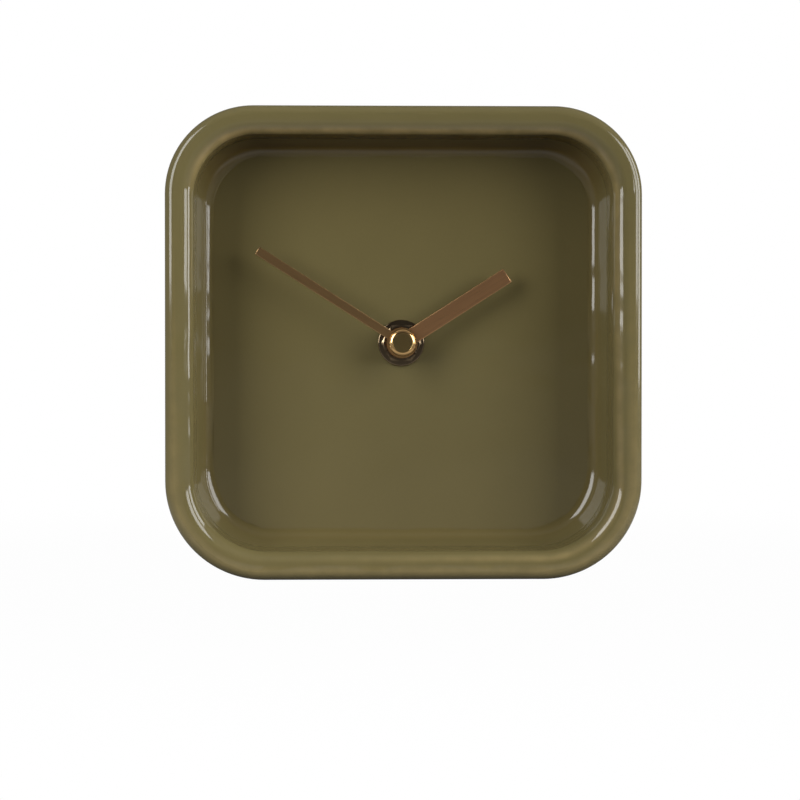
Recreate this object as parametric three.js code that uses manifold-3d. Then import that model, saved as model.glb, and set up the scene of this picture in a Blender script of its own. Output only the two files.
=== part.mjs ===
// Ceramic table clock: a glazed block with a thick soft-edged lip and a deep dial, two plain bar hands,
// and a quartz movement with its battery, held through the dial by a threaded bushing and a nut.
// Millimetres, +Z up, the dial faces -Y, and the origin is on the table under the block's middle.
// A positive turn about +Y is clockwise on the dial.
import * as THREE from 'three';
import { mergeVertices } from 'three/addons/utils/BufferGeometryUtils.js';
import Module from 'manifold-3d';

const wasm = await Module();
wasm.setup();

// Ceramic block
const blockWidth = 135;
const blockHeight = 134;
const blockDepth = 50;
const topCornerRadius = 25;
const bottomCornerRadius = 28;
const lipOuterRadius = 2.6;
const lipFlat = 1.5;
const lipInnerRadius = 4;
const recessDepth = 22;
const recessDraft = 2;
const recessFillet = 3.3;
const dialThickness = 5;
const backWall = 5.5;
const backDraft = 0.8;
const backFillet = 4;
const backEdgeRadius = 1.5;
const backInnerEdgeRadius = 0.8;

// Clearances: around a turning piece, along its axis, between seated pieces, and to a wall
const turnGap = 0.3;
const endGap = 0.5;
const seatGap = 0.3;
const wallGap = 0.3;

// Bushing, nut and washer that clamp the movement to the dial
const bushingRadius = 4;
const bushingReach = 3.8;
const bushingShoulderRadius = 5.2;
const bushingShoulderLength = 0.9;
const bushingSpigotRadius = 3.6;
const dialHolePlay = 0.6;
const washerRadius = 6.7;
const washerThickness = 0.8;
const nutAcrossFlats = 10.2;
const nutSides = 6;
const nutHeight = 2.2;
const nutChamfer = 0.5;
const gasketRadius = 11;
const gasketThickness = 1.2;

// Hands and the cap on the minute arbor
const hourHandAngle = 57.4;
const hourHandLength = 36;
const hourHandWidth = 4.5;
const minuteHandAngle = 302.5;
const minuteHandLength = 49.2;
const minuteHandWidth = 2.5;
const handThickness = 0.4;
const handSpacing = 1.8;
const handHubRadius = 4.4;
const hourColletRadius = 3.4;
const hourColletLength = 1.1;
const hourPipeRadius = 2.5;
const hourPipeReach = 0.6;
const minuteArborRadius = 1.6;
const capRadius = 3.9;
const capHeight = 2.2;
const capEdgeRadius = 0.9;
const capDishRadius = 2.8;
const capDishDepth = 0.25;
const capThreadDepth = 1.2;

// Movement case, as high as this, and as wide as the cell and its contacts need
const caseSize = 56;
const caseCornerRadius = 2.5;
const caseFloor = 1.2;
const caseWall = 1.3;
const bayWall = 1.2;
const bayWallNotch = 1.3;
const coverThickness = 1.3;
const coverRimDepth = 1;
const coverRimWall = 1.2;
const pillarRadius = 1.8;
const pivotBossRadius = 1.2;
const pivotBossFloor = 0.6;
const fingerNotchRadius = 7;

// Pillars: how far each stands in from the side wall, up from the bay's wall or down from the top
const leftPillarInset = 5.7;
const lowRightPillarInset = 6.2;
const highRightPillarInset = 7.2;
const lowLeftPillarRise = 4.4;
const lowRightPillarRise = 3.4;
const highPillarDrop = 10.8;

// Gear train: tooth counts, and the distance and direction (degrees, 0 to the right, 90 up) of each
// axis from the one that it meshes with
const cannonTeeth = 12;
const minuteWheelTeeth = 36;
const minutePinionTeeth = 10;
const hourWheelTeeth = 40;
const motionDistance = 9.6;
const motionDirection = 170;
const settingTeeth = 14;
const settingDirection = 110;
const centreTeeth = 64;
const thirdPinionTeeth = 8;
const thirdTeeth = 60;
const secondPinionTeeth = 8;
const trainDistance = 9.9;
const trainDirection = 10;
const secondTeeth = 50;
const intermediatePinionTeeth = 10;
const intermediateDistance = 8.4;
const intermediateDirection = 110;
const intermediateTeeth = 48;
const rotorTeeth = 8;
const rotorDistance = 6.16;
const rotorDirection = 80;

// Shape of a tooth, as shares of the module and of the pitch
const addendum = 1;
const dedendum = 1.3;
const wheelToothFoot = 0.68;
const leafFoot = 0.46;
const leafShoulder = 0.36;
const knobRibFoot = 0.75;
const knobRibTip = 0.35;

// Thicknesses and small radii of the train
const hourWheelThickness = 1.2;
const minuteWheelThickness = 1.2;
const centreWheelThickness = 0.8;
const thirdWheelThickness = 0.7;
const secondWheelThickness = 0.7;
const intermediateWheelThickness = 0.6;
const leafOverhang = 0.2;
const minutePostRadius = 0.8;
const arborRadius = 0.55;
const pivotRadius = 0.4;
const pivotLength = 1.2;
const tailRadius = 1.1;
const tailBoreFloor = 1;
const clutchThickness = 0.2;
const clutchHubRadius = 2.3;
const clutchArmLength = 4.6;
const clutchArmWidth = 1.1;
const clutchArms = 3;
const bridgeThickness = 1.2;
const bridgePostRadius = 0.35;
const bridgeMargin = 2.2;
const settingShaftRadius = 1.5;
const settingPinRadius = 0.8;
const knobRadius = 6.5;
const knobThickness = 2.4;
const knobRibs = 20;
const knobRibDepth = 0.45;
const knobSocketDepth = 1.2;

// Stepping motor
const magnetRadius = 2.9;
const magnetLength = 3;
const statorThickness = 0.8;
const statorGap = 0.5;
const statorBridge = 1;
const statorWidth = 18;
const statorArmSpan = 25.6;
const statorArmWidth = 3.2;
const statorShoulder = 2;
const statorChamfer = 3.5;
const coreWidth = 2.6;
const coreThickness = 0.8;
const bobbinBarrelRadius = 2.2;
const bobbinFlangeRadius = 3.6;
const bobbinFlange = 0.7;
const bobbinEndGap = 0.4;
const windingRadius = 3.4;
const coilWallGap = 0.6;

// Circuit board and what it carries
const boardHeight = 12.5;
const boardThickness = 0.8;
const boardGap = 1;
const boardCornerRadius = 1;
const coverHeadroom = 1.6;
const crystalRadius = 1;
const crystalLength = 6;
const crystalInset = 7.7;
const chipRadius = 2.8;
const chipHeight = 0.9;
const chipCrown = [0.25, 0.5, 0.75];
const chipX = 6;

// Battery cell and its contacts
const cellRadius = 7.25;
const cellLength = 50.5;
const nubRadius = 2.75;
const nubLength = 1;
const cellEdgeRadius = 0.6;
const contactThickness = 0.3;
const contactWidth = 8;
const contactTailWidth = 3;
const contactReach = 4;
const leafFootWidth = 0.6;
const leafBulge = 1.1;

// Screws
const screwHeadRadius = 1.6;
const screwHeadHeight = 0.8;
const screwShankRadius = 0.8;
const screwLength = 3;
const screwSlotWidth = 0.4;
const screwSlotDepth = 0.3;

// Facets
const cornerSteps = 9;
const arcSteps = 4;
const edgeSteps = 2;
const roundSides = 24;
const smallSides = 12;
const coilSides = 16;
const weldDistance = 1e-4;
const cutMargin = 1;

// Places along the depth, from the dial back to the knob
const frontY = -blockDepth / 2;
const backY = blockDepth / 2;
const dialY = frontY + recessDepth;
const dialBackY = dialY + dialThickness;
const caseFrontY = dialBackY + gasketThickness;
const caseFloorY = caseFrontY + caseFloor / 2;
const caseInnerY = caseFrontY + caseFloor;
const hourWheelY = caseInnerY + endGap;
const hourWheelBackY = hourWheelY + hourWheelThickness;
const cannonY = hourWheelBackY + endGap;
const minuteWheelY = cannonY + leafOverhang;
const minuteWheelBackY = minuteWheelY + minuteWheelThickness;
const cannonBackY = minuteWheelBackY + leafOverhang;
const centreWheelY = cannonBackY + endGap;
const centreWheelBackY = centreWheelY + centreWheelThickness;
const clutchY = centreWheelBackY + seatGap;
const clutchBackY = clutchY + clutchThickness;
const thirdPinionY = centreWheelY - leafOverhang;
const thirdPinionBackY = centreWheelBackY + leafOverhang;
const secondPinionY = clutchBackY + endGap;
const thirdWheelY = secondPinionY + leafOverhang;
const thirdWheelBackY = thirdWheelY + thirdWheelThickness;
const secondPinionBackY = thirdWheelBackY + leafOverhang;
const secondWheelY = secondPinionBackY + endGap;
const secondWheelBackY = secondWheelY + secondWheelThickness;
const intermediatePinionY = secondWheelY - leafOverhang;
const intermediatePinionBackY = secondWheelBackY + leafOverhang;
const intermediateWheelY = intermediatePinionBackY + seatGap;
const intermediateWheelBackY = intermediateWheelY + intermediateWheelThickness;
const rotorPinionY = intermediateWheelY - leafOverhang;
const rotorPinionBackY = intermediateWheelBackY + leafOverhang;
const bridgeY = rotorPinionBackY + endGap;
const bridgeBackY = bridgeY + bridgeThickness;
const boardY = bridgeBackY + seatGap;
const boardBackY = boardY + boardThickness;
const coverY = boardBackY + coverHeadroom;
const coverBackY = coverY + coverThickness;
const caseBackY = coverY - seatGap;
const knobY = coverBackY + endGap;
const statorY = centreWheelBackY + endGap;
const statorBackY = statorY + statorThickness;
const coreBackY = statorBackY + coreThickness;
const coilAxisY = statorBackY + coreThickness / 2;
const magnetY = (statorY + statorBackY - magnetLength) / 2;
const cellAxisY = caseInnerY + seatGap + cellRadius;

// Places along the depth in front of the dial
const nutY = dialY - washerThickness;
const bushingFrontY = dialY - bushingReach;
const hourHandY = bushingFrontY - seatGap - hourColletLength;
const hourHandFrontY = hourHandY - handThickness;
const hourPipeFrontY = hourHandFrontY - hourPipeReach;
const minuteHandY = hourHandFrontY - handSpacing;
const minuteHandFrontY = minuteHandY - handThickness;
const capY = minuteHandFrontY - seatGap;
const arborFrontY = capY - capThreadDepth + seatGap;

// Places across the movement, from the hands' axis
const axisHeight = blockHeight / 2;
const caseHalf = caseSize / 2;
const caseInnerHalf = caseHalf - caseWall;
const contactX = (cellLength + leafBulge) / 2 + contactThickness + seatGap;
const cellTipX = seatGap + contactThickness - contactX;
const caseInnerHalfWidth = contactX + wallGap;
const caseHalfWidth = caseInnerHalfWidth + caseWall;
const cellAxisZ = -caseInnerHalf + wallGap + seatGap + cellRadius;
const bayTopZ = cellAxisZ + cellRadius + endGap;
const bayWallTopZ = bayTopZ + bayWall;
const coilAxisZ = caseInnerHalf - coilWallGap - bobbinFlangeRadius;
const armX = (statorArmSpan - statorArmWidth) / 2;
const bobbinLength = statorArmSpan - 2 * (statorArmWidth + bobbinEndGap);
const boardTopZ = caseInnerHalf - boardGap;
const boardLowZ = boardTopZ - boardHeight;
const boardHalfWidth = caseInnerHalfWidth - boardGap;
const crystalX = boardHalfWidth - crystalInset;

// Axis that lies at a distance and direction from another, as [x, z]
function axisFrom([x, z], distance, degrees) {
  const angle = THREE.MathUtils.degToRad(degrees);
  return [x + distance * Math.cos(angle), z + distance * Math.sin(angle)];
}

// Module of two gears that mesh at a centre distance
function moduleOf(distance, teethA, teethB) {
  return 2 * distance / (teethA + teethB);
}

const motionModule = moduleOf(motionDistance, cannonTeeth, minuteWheelTeeth);
const hourModule = moduleOf(motionDistance, minutePinionTeeth, hourWheelTeeth);
const centreModule = moduleOf(trainDistance, centreTeeth, thirdPinionTeeth);
const thirdModule = moduleOf(trainDistance, thirdTeeth, secondPinionTeeth);
const secondModule = moduleOf(intermediateDistance, secondTeeth, intermediatePinionTeeth);
const rotorModule = moduleOf(rotorDistance, intermediateTeeth, rotorTeeth);
const settingDistance = motionModule * (minuteWheelTeeth + settingTeeth) / 2;

const centreAxis = [0, 0];
const motionAxis = axisFrom(centreAxis, motionDistance, motionDirection);
const settingAxis = axisFrom(motionAxis, settingDistance, settingDirection);
const thirdAxis = axisFrom(centreAxis, trainDistance, trainDirection);
const intermediateAxis = axisFrom(centreAxis, intermediateDistance, intermediateDirection);
const rotorAxis = axisFrom(intermediateAxis, rotorDistance, rotorDirection);

// Four pillars that carry the train bridge, clear of every wheel
const pillarAxes = [
  [leftPillarInset - caseInnerHalfWidth, bayWallTopZ + lowLeftPillarRise],
  [caseInnerHalfWidth - lowRightPillarInset, bayWallTopZ + lowRightPillarRise],
  [leftPillarInset - caseInnerHalfWidth, caseInnerHalf - highPillarDrop],
  [caseInnerHalfWidth - highRightPillarInset, caseInnerHalf - highPillarDrop],
];
const armAxes = [[-armX, coilAxisZ], [armX, coilAxisZ]];

// Finishes
const finish = (color, roughness, metalness) =>
  new THREE.MeshStandardMaterial({ color, roughness, metalness });
const oliveGlaze = finish(0x66603c, 0.16, 0);
const roseGold = finish(0x8a5f45, 0.32, 1);
const polishedBrass = finish(0xc69a55, 0.18, 1);
const turnedBrass = finish(0xb5965a, 0.35, 1);
const blackNickel = finish(0x2b2624, 0.2, 1);
const blackPlastic = finish(0x1b1b1c, 0.55, 0);
const whiteAcetal = finish(0xe6e2d6, 0.45, 0);
const softRubber = finish(0x161616, 0.85, 0);
const nickelSteel = finish(0xb9b9b5, 0.3, 1);
const darkFerrite = finish(0x3a3a3d, 0.5, 1);
const electricSteel = finish(0x8d8f92, 0.4, 1);
const bobbinPlastic = finish(0xd9d2b8, 0.5, 0);
const copperWire = finish(0xa8552a, 0.35, 1);
const boardGreen = finish(0x2f5a34, 0.5, 0);
const blackResin = finish(0x111113, 0.4, 0);
const cellJacket = finish(0x2c3d55, 0.35, 0.3);

// Welds shared corners and drops the triangles that fold to a line
function weld(geometry) {
  const bare = geometry.clone();
  bare.deleteAttribute('normal');
  bare.deleteAttribute('uv');
  const welded = mergeVertices(bare, weldDistance);
  const corners = welded.index.array;
  const kept = [];
  for (let i = 0; i < corners.length; i += 3) {
    const [a, b, c] = corners.slice(i, i + 3);
    if (a !== b && b !== c && c !== a) kept.push(a, b, c);
  }
  welded.setIndex(kept);
  return welded;
}

// Closed solid of a geometry, for joins and cuts
function solidOf(geometry) {
  const welded = weld(geometry);
  const vertProperties = Float32Array.from(welded.attributes.position.array);
  const triVerts = Uint32Array.from(welded.index.array);
  return new wasm.Manifold(new wasm.Mesh({ numProp: 3, vertProperties, triVerts }));
}

// Geometry of a joined or cut solid
function geometryOf(solid) {
  const { vertProperties, triVerts } = solid.getMesh();
  const geometry = new THREE.BufferGeometry();
  geometry.setAttribute('position', new THREE.BufferAttribute(vertProperties, 3));
  geometry.setIndex(new THREE.BufferAttribute(triVerts, 1));
  return geometry;
}

// First geometry with all the others joined to it
function join(first, ...others) {
  return geometryOf(others.reduce((sum, other) => sum.add(solidOf(other)), solidOf(first)));
}

// Geometry with all the others cut out of it
function cut(blank, ...tools) {
  return geometryOf(tools.reduce((rest, tool) => rest.subtract(solidOf(tool)), solidOf(blank)));
}

// What two geometries share
function common(first, second) {
  return geometryOf(solidOf(first).intersect(solidOf(second)));
}

// Geometry moved across the dial plane
function at([x, z], geometry) {
  return geometry.clone().translate(x, 0, z);
}

// Plate of an outline drawn as seen from the front, between two depths
function plate(shape, fromY, toY, curveSegments = arcSteps) {
  const depth = toY - fromY;
  const geometry = new THREE.ExtrudeGeometry(shape, { depth, bevelEnabled: false, curveSegments });
  return geometry.rotateX(Math.PI / 2).translate(0, toY, 0);
}

// Turned piece about the Y axis; the profile is [radius, y] with its outer side running to +Y
function turned(profile, sides = roundSides) {
  return new THREE.LatheGeometry(profile.map(([r, y]) => new THREE.Vector2(r, y)), sides);
}

// Solid round bar between two depths
function rod(radius, fromY, toY, sides = smallSides) {
  return turned([[0, fromY], [radius, fromY], [radius, toY], [0, toY]], sides);
}

// Ring or tube between two depths
function sleeve(outer, inner, fromY, toY, sides = roundSides) {
  return turned([[inner, fromY], [outer, fromY], [outer, toY], [inner, toY], [inner, fromY]], sides);
}

// Box between two corners
function block([x0, y0, z0], [x1, y1, z1]) {
  const box = new THREE.BoxGeometry(x1 - x0, y1 - y0, z1 - z0);
  return box.translate((x0 + x1) / 2, (y0 + y1) / 2, (z0 + z1) / 2);
}

// Rectangle with round corners between two corners, as seen from the front
function roundedRectangle([x0, z0], [x1, z1], radius) {
  const shape = new THREE.Shape();
  shape.moveTo(x0 + radius, z0);
  shape.lineTo(x1 - radius, z0);
  shape.absarc(x1 - radius, z0 + radius, radius, -Math.PI / 2, 0);
  shape.lineTo(x1, z1 - radius);
  shape.absarc(x1 - radius, z1 - radius, radius, 0, Math.PI / 2);
  shape.lineTo(x0 + radius, z1);
  shape.absarc(x0 + radius, z1 - radius, radius, Math.PI / 2, Math.PI);
  shape.lineTo(x0, z0 + radius);
  shape.absarc(x0 + radius, z0 + radius, radius, Math.PI, Math.PI * 3 / 2);
  return shape;
}

// Named mesh of a piece at its place across the movement
function piece(name, geometry, material, [x, z] = centreAxis) {
  const mesh = new THREE.Mesh(geometry, material);
  mesh.name = name;
  mesh.position.set(x, 0, z);
  return mesh;
}

// Points of an arc as [inset, y], from one angle to another in degrees
function arc([inset, y], radius, fromDegrees, toDegrees, steps = arcSteps) {
  const points = [];
  for (let i = 0; i <= steps; i += 1) {
    const angle = THREE.MathUtils.degToRad(fromDegrees + (toDegrees - fromDegrees) * i / steps);
    points.push([inset + radius * Math.cos(angle), y + radius * Math.sin(angle)]);
  }
  return points;
}

// Wall section of the block as [inset from the outer face, y]: from the back edge over the outer
// face, the lip with its small flat, the recess wall and its fillet to the dial
function frontSection() {
  const innerEdgeInset = lipOuterRadius + lipFlat;
  const wallTopInset = innerEdgeInset + lipInnerRadius;
  const wallFootInset = wallTopInset + recessDraft;
  const slope = THREE.MathUtils.radToDeg(Math.atan2(recessDraft, recessDepth));
  return [
    ...arc([backEdgeRadius, backY - backEdgeRadius], backEdgeRadius, 90, 180, edgeSteps),
    ...arc([lipOuterRadius, frontY + lipOuterRadius], lipOuterRadius, 180, 270),
    ...arc([innerEdgeInset, frontY + lipInnerRadius], lipInnerRadius, 270, 360 - slope),
    ...arc([wallFootInset + recessFillet, dialY - recessFillet], recessFillet, 180 - slope, 90),
  ];
}

// Section of the open back as [inset, y]: from the dial's rear face over the fillet to the rim
function backSection() {
  const edge = backInnerEdgeRadius;
  const rimInset = backWall - backDraft;
  const footInset = backWall + backDraft;
  return [
    ...arc([footInset + backFillet, dialBackY + backFillet], backFillet, 270, 180),
    ...arc([rimInset - edge, backY - edge], edge, 0, 90, edgeSteps),
  ];
}

// Ring of the block's outline at an inset, with the larger radius on the lower corners
function outlineRing([inset, y]) {
  const ring = [];
  const halfWidth = blockWidth / 2 - inset;
  const halfHeight = blockHeight / 2 - inset;
  for (let corner = 0; corner < 4; corner += 1) {
    const radius = (corner < 2 ? topCornerRadius : bottomCornerRadius) - inset;
    const sideX = corner === 0 || corner === 3 ? 1 : -1;
    const sideZ = corner < 2 ? 1 : -1;
    for (let i = 0; i <= cornerSteps; i += 1) {
      const angle = (corner + i / cornerSteps) * Math.PI / 2;
      const x = sideX * (halfWidth - radius) + radius * Math.cos(angle);
      const z = sideZ * (halfHeight - radius) + radius * Math.sin(angle);
      ring.push([x, y, axisHeight + z]);
    }
  }
  return ring;
}

// Ring of the hands' hole, with a point for each of the outline's points
function holeRing(radius, y) {
  const count = 4 * (cornerSteps + 1);
  const ring = [];
  for (let i = 0; i < count; i += 1) {
    const angle = (i + 0.5) * 2 * Math.PI / count;
    ring.push([radius * Math.cos(angle), y, axisHeight + radius * Math.sin(angle)]);
  }
  return ring;
}

// Closed skin over rings that follow each other and end where they began
function skin(rings) {
  const count = rings[0].length;
  const corners = [];
  rings.forEach((ring, i) => {
    const next = (i + 1) % rings.length;
    for (let j = 0; j < count; j += 1) {
      const k = (j + 1) % count;
      const a = i * count + j;
      const b = i * count + k;
      const c = next * count + k;
      const d = next * count + j;
      corners.push(a, b, c, a, c, d);
    }
  });
  const geometry = new THREE.BufferGeometry();
  geometry.setAttribute('position', new THREE.Float32BufferAttribute(rings.flat(2), 3));
  geometry.setIndex(corners);
  return geometry;
}

// Block in one skin: outside, lip, recess, dial, hole, open back and rim
function ceramicBody() {
  const holeRadius = bushingRadius + dialHolePlay;
  return skin([
    ...frontSection().map(outlineRing),
    holeRing(holeRadius, dialY),
    holeRing(holeRadius, dialBackY),
    ...backSection().map(outlineRing),
  ]);
}

// Direction in radians from one axis to another
function directionTo([x0, z0], [x1, z1]) {
  return Math.atan2(z1 - z0, x1 - x0);
}

// Phase that puts a driven gear's gap on the driver's tooth at their line of centres
function meshPhase(driver, driven) {
  const direction = directionTo(driver.axis, driven.axis);
  const toothShare = (direction - driver.phase) * driver.teeth / (2 * Math.PI);
  return direction + Math.PI + (toothShare + 0.5) * 2 * Math.PI / driven.teeth;
}

// Outline of a gear from the half width of its tooth, as a share of the pitch, at given radii
function toothedShape(teeth, phase, flank) {
  const pitch = 2 * Math.PI / teeth;
  const shape = new THREE.Shape();
  const points = [];
  for (let i = 0; i < teeth; i += 1) {
    const middle = phase + i * pitch;
    flank.forEach(([radius, share]) => points.push([radius, middle - share * pitch / 2]));
    const farFlank = flank.filter(([, share]) => share > 0).reverse();
    farFlank.forEach(([radius, share]) => points.push([radius, middle + share * pitch / 2]));
  }
  shape.setFromPoints(points.map(([r, a]) => new THREE.Vector2(r * Math.cos(a), r * Math.sin(a))));
  return shape;
}

// Wheel disc: many pointed teeth, as clock wheels have
function wheelDisc(teeth, module, phase, fromY, toY) {
  const pitchRadius = teeth * module / 2;
  return plate(toothedShape(teeth, phase, [
    [pitchRadius - dedendum * module, wheelToothFoot],
    [pitchRadius + addendum * module, 0],
  ]), fromY, toY);
}

// Pinion: few leaves that narrow from the pitch line to a blunt point
function pinionRod(teeth, module, phase, fromY, toY) {
  const pitchRadius = teeth * module / 2;
  return plate(toothedShape(teeth, phase, [
    [pitchRadius - dedendum * module, leafFoot],
    [pitchRadius, leafShoulder],
    [pitchRadius + addendum * module, 0],
  ]), fromY, toY);
}

// Phases of the motion work and of the train, each gear's teeth in the gaps of the one before
const cannon = { axis: centreAxis, teeth: cannonTeeth, phase: 0 };
const minuteWheelGear = { axis: motionAxis, teeth: minuteWheelTeeth };
minuteWheelGear.phase = meshPhase(cannon, minuteWheelGear);
const minutePinion = { axis: motionAxis, teeth: minutePinionTeeth, phase: 0 };
const hourGear = { axis: centreAxis, teeth: hourWheelTeeth };
hourGear.phase = meshPhase(minutePinion, hourGear);
const settingGear = { axis: settingAxis, teeth: settingTeeth };
settingGear.phase = meshPhase(minuteWheelGear, settingGear);
const secondPinion = { axis: centreAxis, teeth: secondPinionTeeth, phase: 0 };
const thirdGear = { axis: thirdAxis, teeth: thirdTeeth };
thirdGear.phase = meshPhase(secondPinion, thirdGear);
const thirdPinion = { axis: thirdAxis, teeth: thirdPinionTeeth, phase: 0 };
const centreGear = { axis: centreAxis, teeth: centreTeeth };
centreGear.phase = meshPhase(thirdPinion, centreGear);
const secondGear = { axis: centreAxis, teeth: secondTeeth, phase: 0 };
const intermediatePinion = { axis: intermediateAxis, teeth: intermediatePinionTeeth };
intermediatePinion.phase = meshPhase(secondGear, intermediatePinion);
const intermediateGear = { axis: intermediateAxis, teeth: intermediateTeeth, phase: 0 };
const rotorGear = { axis: rotorAxis, teeth: rotorTeeth };
rotorGear.phase = meshPhase(intermediateGear, rotorGear);

// Flat washer under the nut
function frontWasher() {
  return sleeve(washerRadius, bushingRadius + seatGap, nutY, dialY);
}

// Hex nut with a flat at the top and both faces chamfered to a circle
function hexNut() {
  const flatRadius = nutAcrossFlats / 2;
  const cornerRadius = flatRadius / Math.cos(Math.PI / nutSides);
  const nutFrontY = nutY - nutHeight;
  const hexagon = rod(cornerRadius, nutFrontY, nutY, nutSides).rotateY(Math.PI / nutSides);
  const chamfers = turned([
    [0, nutFrontY],
    [flatRadius, nutFrontY],
    [cornerRadius, nutFrontY + nutChamfer],
    [cornerRadius, nutY - nutChamfer],
    [flatRadius, nutY],
    [0, nutY],
  ]);
  const bore = rod(bushingRadius + seatGap, nutFrontY - cutMargin, nutY + cutMargin, roundSides);
  return cut(common(hexagon, chamfers), bore);
}

// Brass bushing: thread through the dial, shoulder in the gasket, spigot in the case floor
function threadedBushing() {
  const shoulderY = caseFrontY - bushingShoulderLength;
  const bore = hourPipeRadius + turnGap;
  return turned([
    [bore, bushingFrontY],
    [bushingRadius, bushingFrontY],
    [bushingRadius, shoulderY],
    [bushingShoulderRadius, shoulderY],
    [bushingShoulderRadius, caseFrontY],
    [bushingSpigotRadius, caseFrontY],
    [bushingSpigotRadius, caseInnerY],
    [bore, caseInnerY],
    [bore, bushingFrontY],
  ]);
}

// Soft ring between the dial's rear face and the case
function rubberGasket() {
  return sleeve(gasketRadius, bushingShoulderRadius + seatGap, dialBackY, caseFrontY);
}

// Bar of a hand with its round hub, drawn pointing up
function handBlade(length, width, boreRadius, fromY, toY) {
  const bar = block([-width / 2, fromY, 0], [width / 2, toY, length]);
  const hub = rod(handHubRadius, fromY, toY, roundSides);
  const bore = rod(boreRadius, fromY - cutMargin, toY + cutMargin, roundSides);
  return cut(join(bar, hub), bore);
}

// Hour hand with the collet that grips the hour pipe
function hourHand() {
  const bore = hourPipeRadius + seatGap;
  const colletBackY = hourHandY + hourColletLength;
  const blade = handBlade(hourHandLength, hourHandWidth, bore, hourHandFrontY, hourHandY);
  return join(blade, sleeve(hourColletRadius, bore, hourHandY, colletBackY));
}

// Minute hand
function minuteHand() {
  const bore = minuteArborRadius + seatGap;
  return handBlade(minuteHandLength, minuteHandWidth, bore, minuteHandFrontY, minuteHandY);
}

// Closed round nut on the end of the minute arbor, with a shallow dished face
function handCapNut() {
  const bore = minuteArborRadius + seatGap;
  const faceY = capY - capHeight;
  const edge = arc([capRadius - capEdgeRadius, faceY + capEdgeRadius], capEdgeRadius, 270, 360);
  return turned([
    [0, faceY + capDishDepth],
    [capDishRadius - capDishDepth, faceY + capDishDepth],
    [capDishRadius, faceY],
    ...edge,
    [capRadius, capY],
    [bore, capY],
    [bore, capY - capThreadDepth],
    [0, capY - capThreadDepth],
  ]);
}

// Hour wheel with the long pipe that carries the hour hand
function hourWheel() {
  const bore = minuteArborRadius + turnGap;
  const disc = wheelDisc(hourWheelTeeth, hourModule, hourGear.phase, hourWheelY, hourWheelBackY);
  const pipe = rod(hourPipeRadius, hourPipeFrontY, hourWheelBackY, roundSides);
  const hole = rod(bore, hourPipeFrontY - cutMargin, hourWheelBackY + cutMargin, roundSides);
  return cut(join(disc, pipe), hole);
}

// Minute arbor: shaft for the minute hand, cannon pinion, and a bored tail for the train
function minuteArbor() {
  const shaft = rod(minuteArborRadius, arborFrontY, cannonY + leafOverhang);
  const leaves = pinionRod(cannonTeeth, motionModule, cannon.phase, cannonY, cannonBackY);
  const tail = rod(tailRadius, cannonBackY - leafOverhang, clutchBackY);
  const tailBore = rod(pivotRadius + turnGap, clutchBackY - tailBoreFloor, clutchBackY + cutMargin);
  return cut(join(shaft, leaves, tail), tailBore);
}

// Minute wheel and its pinion in one, bored to run on its post
function minuteWheel() {
  const frontFaceY = hourWheelY - leafOverhang;
  const { phase } = minuteWheelGear;
  const disc = wheelDisc(minuteWheelTeeth, motionModule, phase, minuteWheelY, minuteWheelBackY);
  const leaves = pinionRod(minutePinionTeeth, hourModule, minutePinion.phase, frontFaceY, minuteWheelY);
  const bore = rod(minutePostRadius + turnGap, frontFaceY - cutMargin, minuteWheelBackY + cutMargin);
  return cut(join(disc, leaves), bore);
}

// Setting pinion on the shaft that reaches back to the knob
function settingPinion() {
  const leaves = pinionRod(settingTeeth, motionModule, settingGear.phase, cannonY, cannonBackY);
  const shaft = rod(settingShaftRadius, cannonBackY - leafOverhang, knobY + knobSocketDepth);
  const bore = rod(settingPinRadius + turnGap, cannonY - cutMargin, cannonBackY);
  return cut(join(leaves, shaft), bore);
}

// Ribbed knob on the shaft's end, reached from the open back
function settingKnob() {
  const knobBackY = knobY + knobThickness;
  const grip = plate(toothedShape(knobRibs, 0, [
    [knobRadius - knobRibDepth, knobRibFoot],
    [knobRadius, knobRibTip],
  ]), knobY, knobBackY);
  const socketBackY = knobY + knobSocketDepth + seatGap;
  const socket = rod(settingShaftRadius + seatGap, knobY - cutMargin, socketBackY);
  return cut(grip, socket);
}

// Wheel that the train drives and the clutch spring holds to the minute arbor
function centreWheel() {
  const { phase } = centreGear;
  const disc = wheelDisc(centreTeeth, centreModule, phase, centreWheelY, centreWheelBackY);
  return cut(disc, rod(tailRadius + turnGap, centreWheelY - cutMargin, centreWheelBackY + cutMargin));
}

// Thin three-armed spring that presses on the centre wheel
function clutchSpring() {
  const halfArm = clutchArmWidth / 2;
  const arm = block([-halfArm, clutchY, 0], [halfArm, clutchBackY, clutchArmLength]);
  const pitch = 2 * Math.PI / clutchArms;
  const arms = Array.from({ length: clutchArms }, (_, i) => arm.clone().rotateY(i * pitch));
  const hub = rod(clutchHubRadius, clutchY, clutchBackY);
  const bore = rod(tailRadius + seatGap, clutchY - cutMargin, clutchBackY + cutMargin);
  return cut(join(hub, ...arms), bore);
}

// Third wheel, its pinion and the arbor that runs in the case boss and the bridge
function thirdWheel() {
  const disc = wheelDisc(thirdTeeth, thirdModule, thirdGear.phase, thirdWheelY, thirdWheelBackY);
  const leaves = pinionRod(thirdPinionTeeth, centreModule, 0, thirdPinionY, thirdPinionBackY);
  const arbor = rod(arborRadius, thirdPinionBackY - leafOverhang, bridgeY - seatGap);
  const frontPivot = rod(pivotRadius, bossBoreY(thirdPinionY) + seatGap, thirdPinionY + leafOverhang);
  const backPivot = rod(pivotRadius, bridgeY - endGap, bridgeBackY - seatGap);
  return join(disc, leaves, arbor, frontPivot, backPivot);
}

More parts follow.
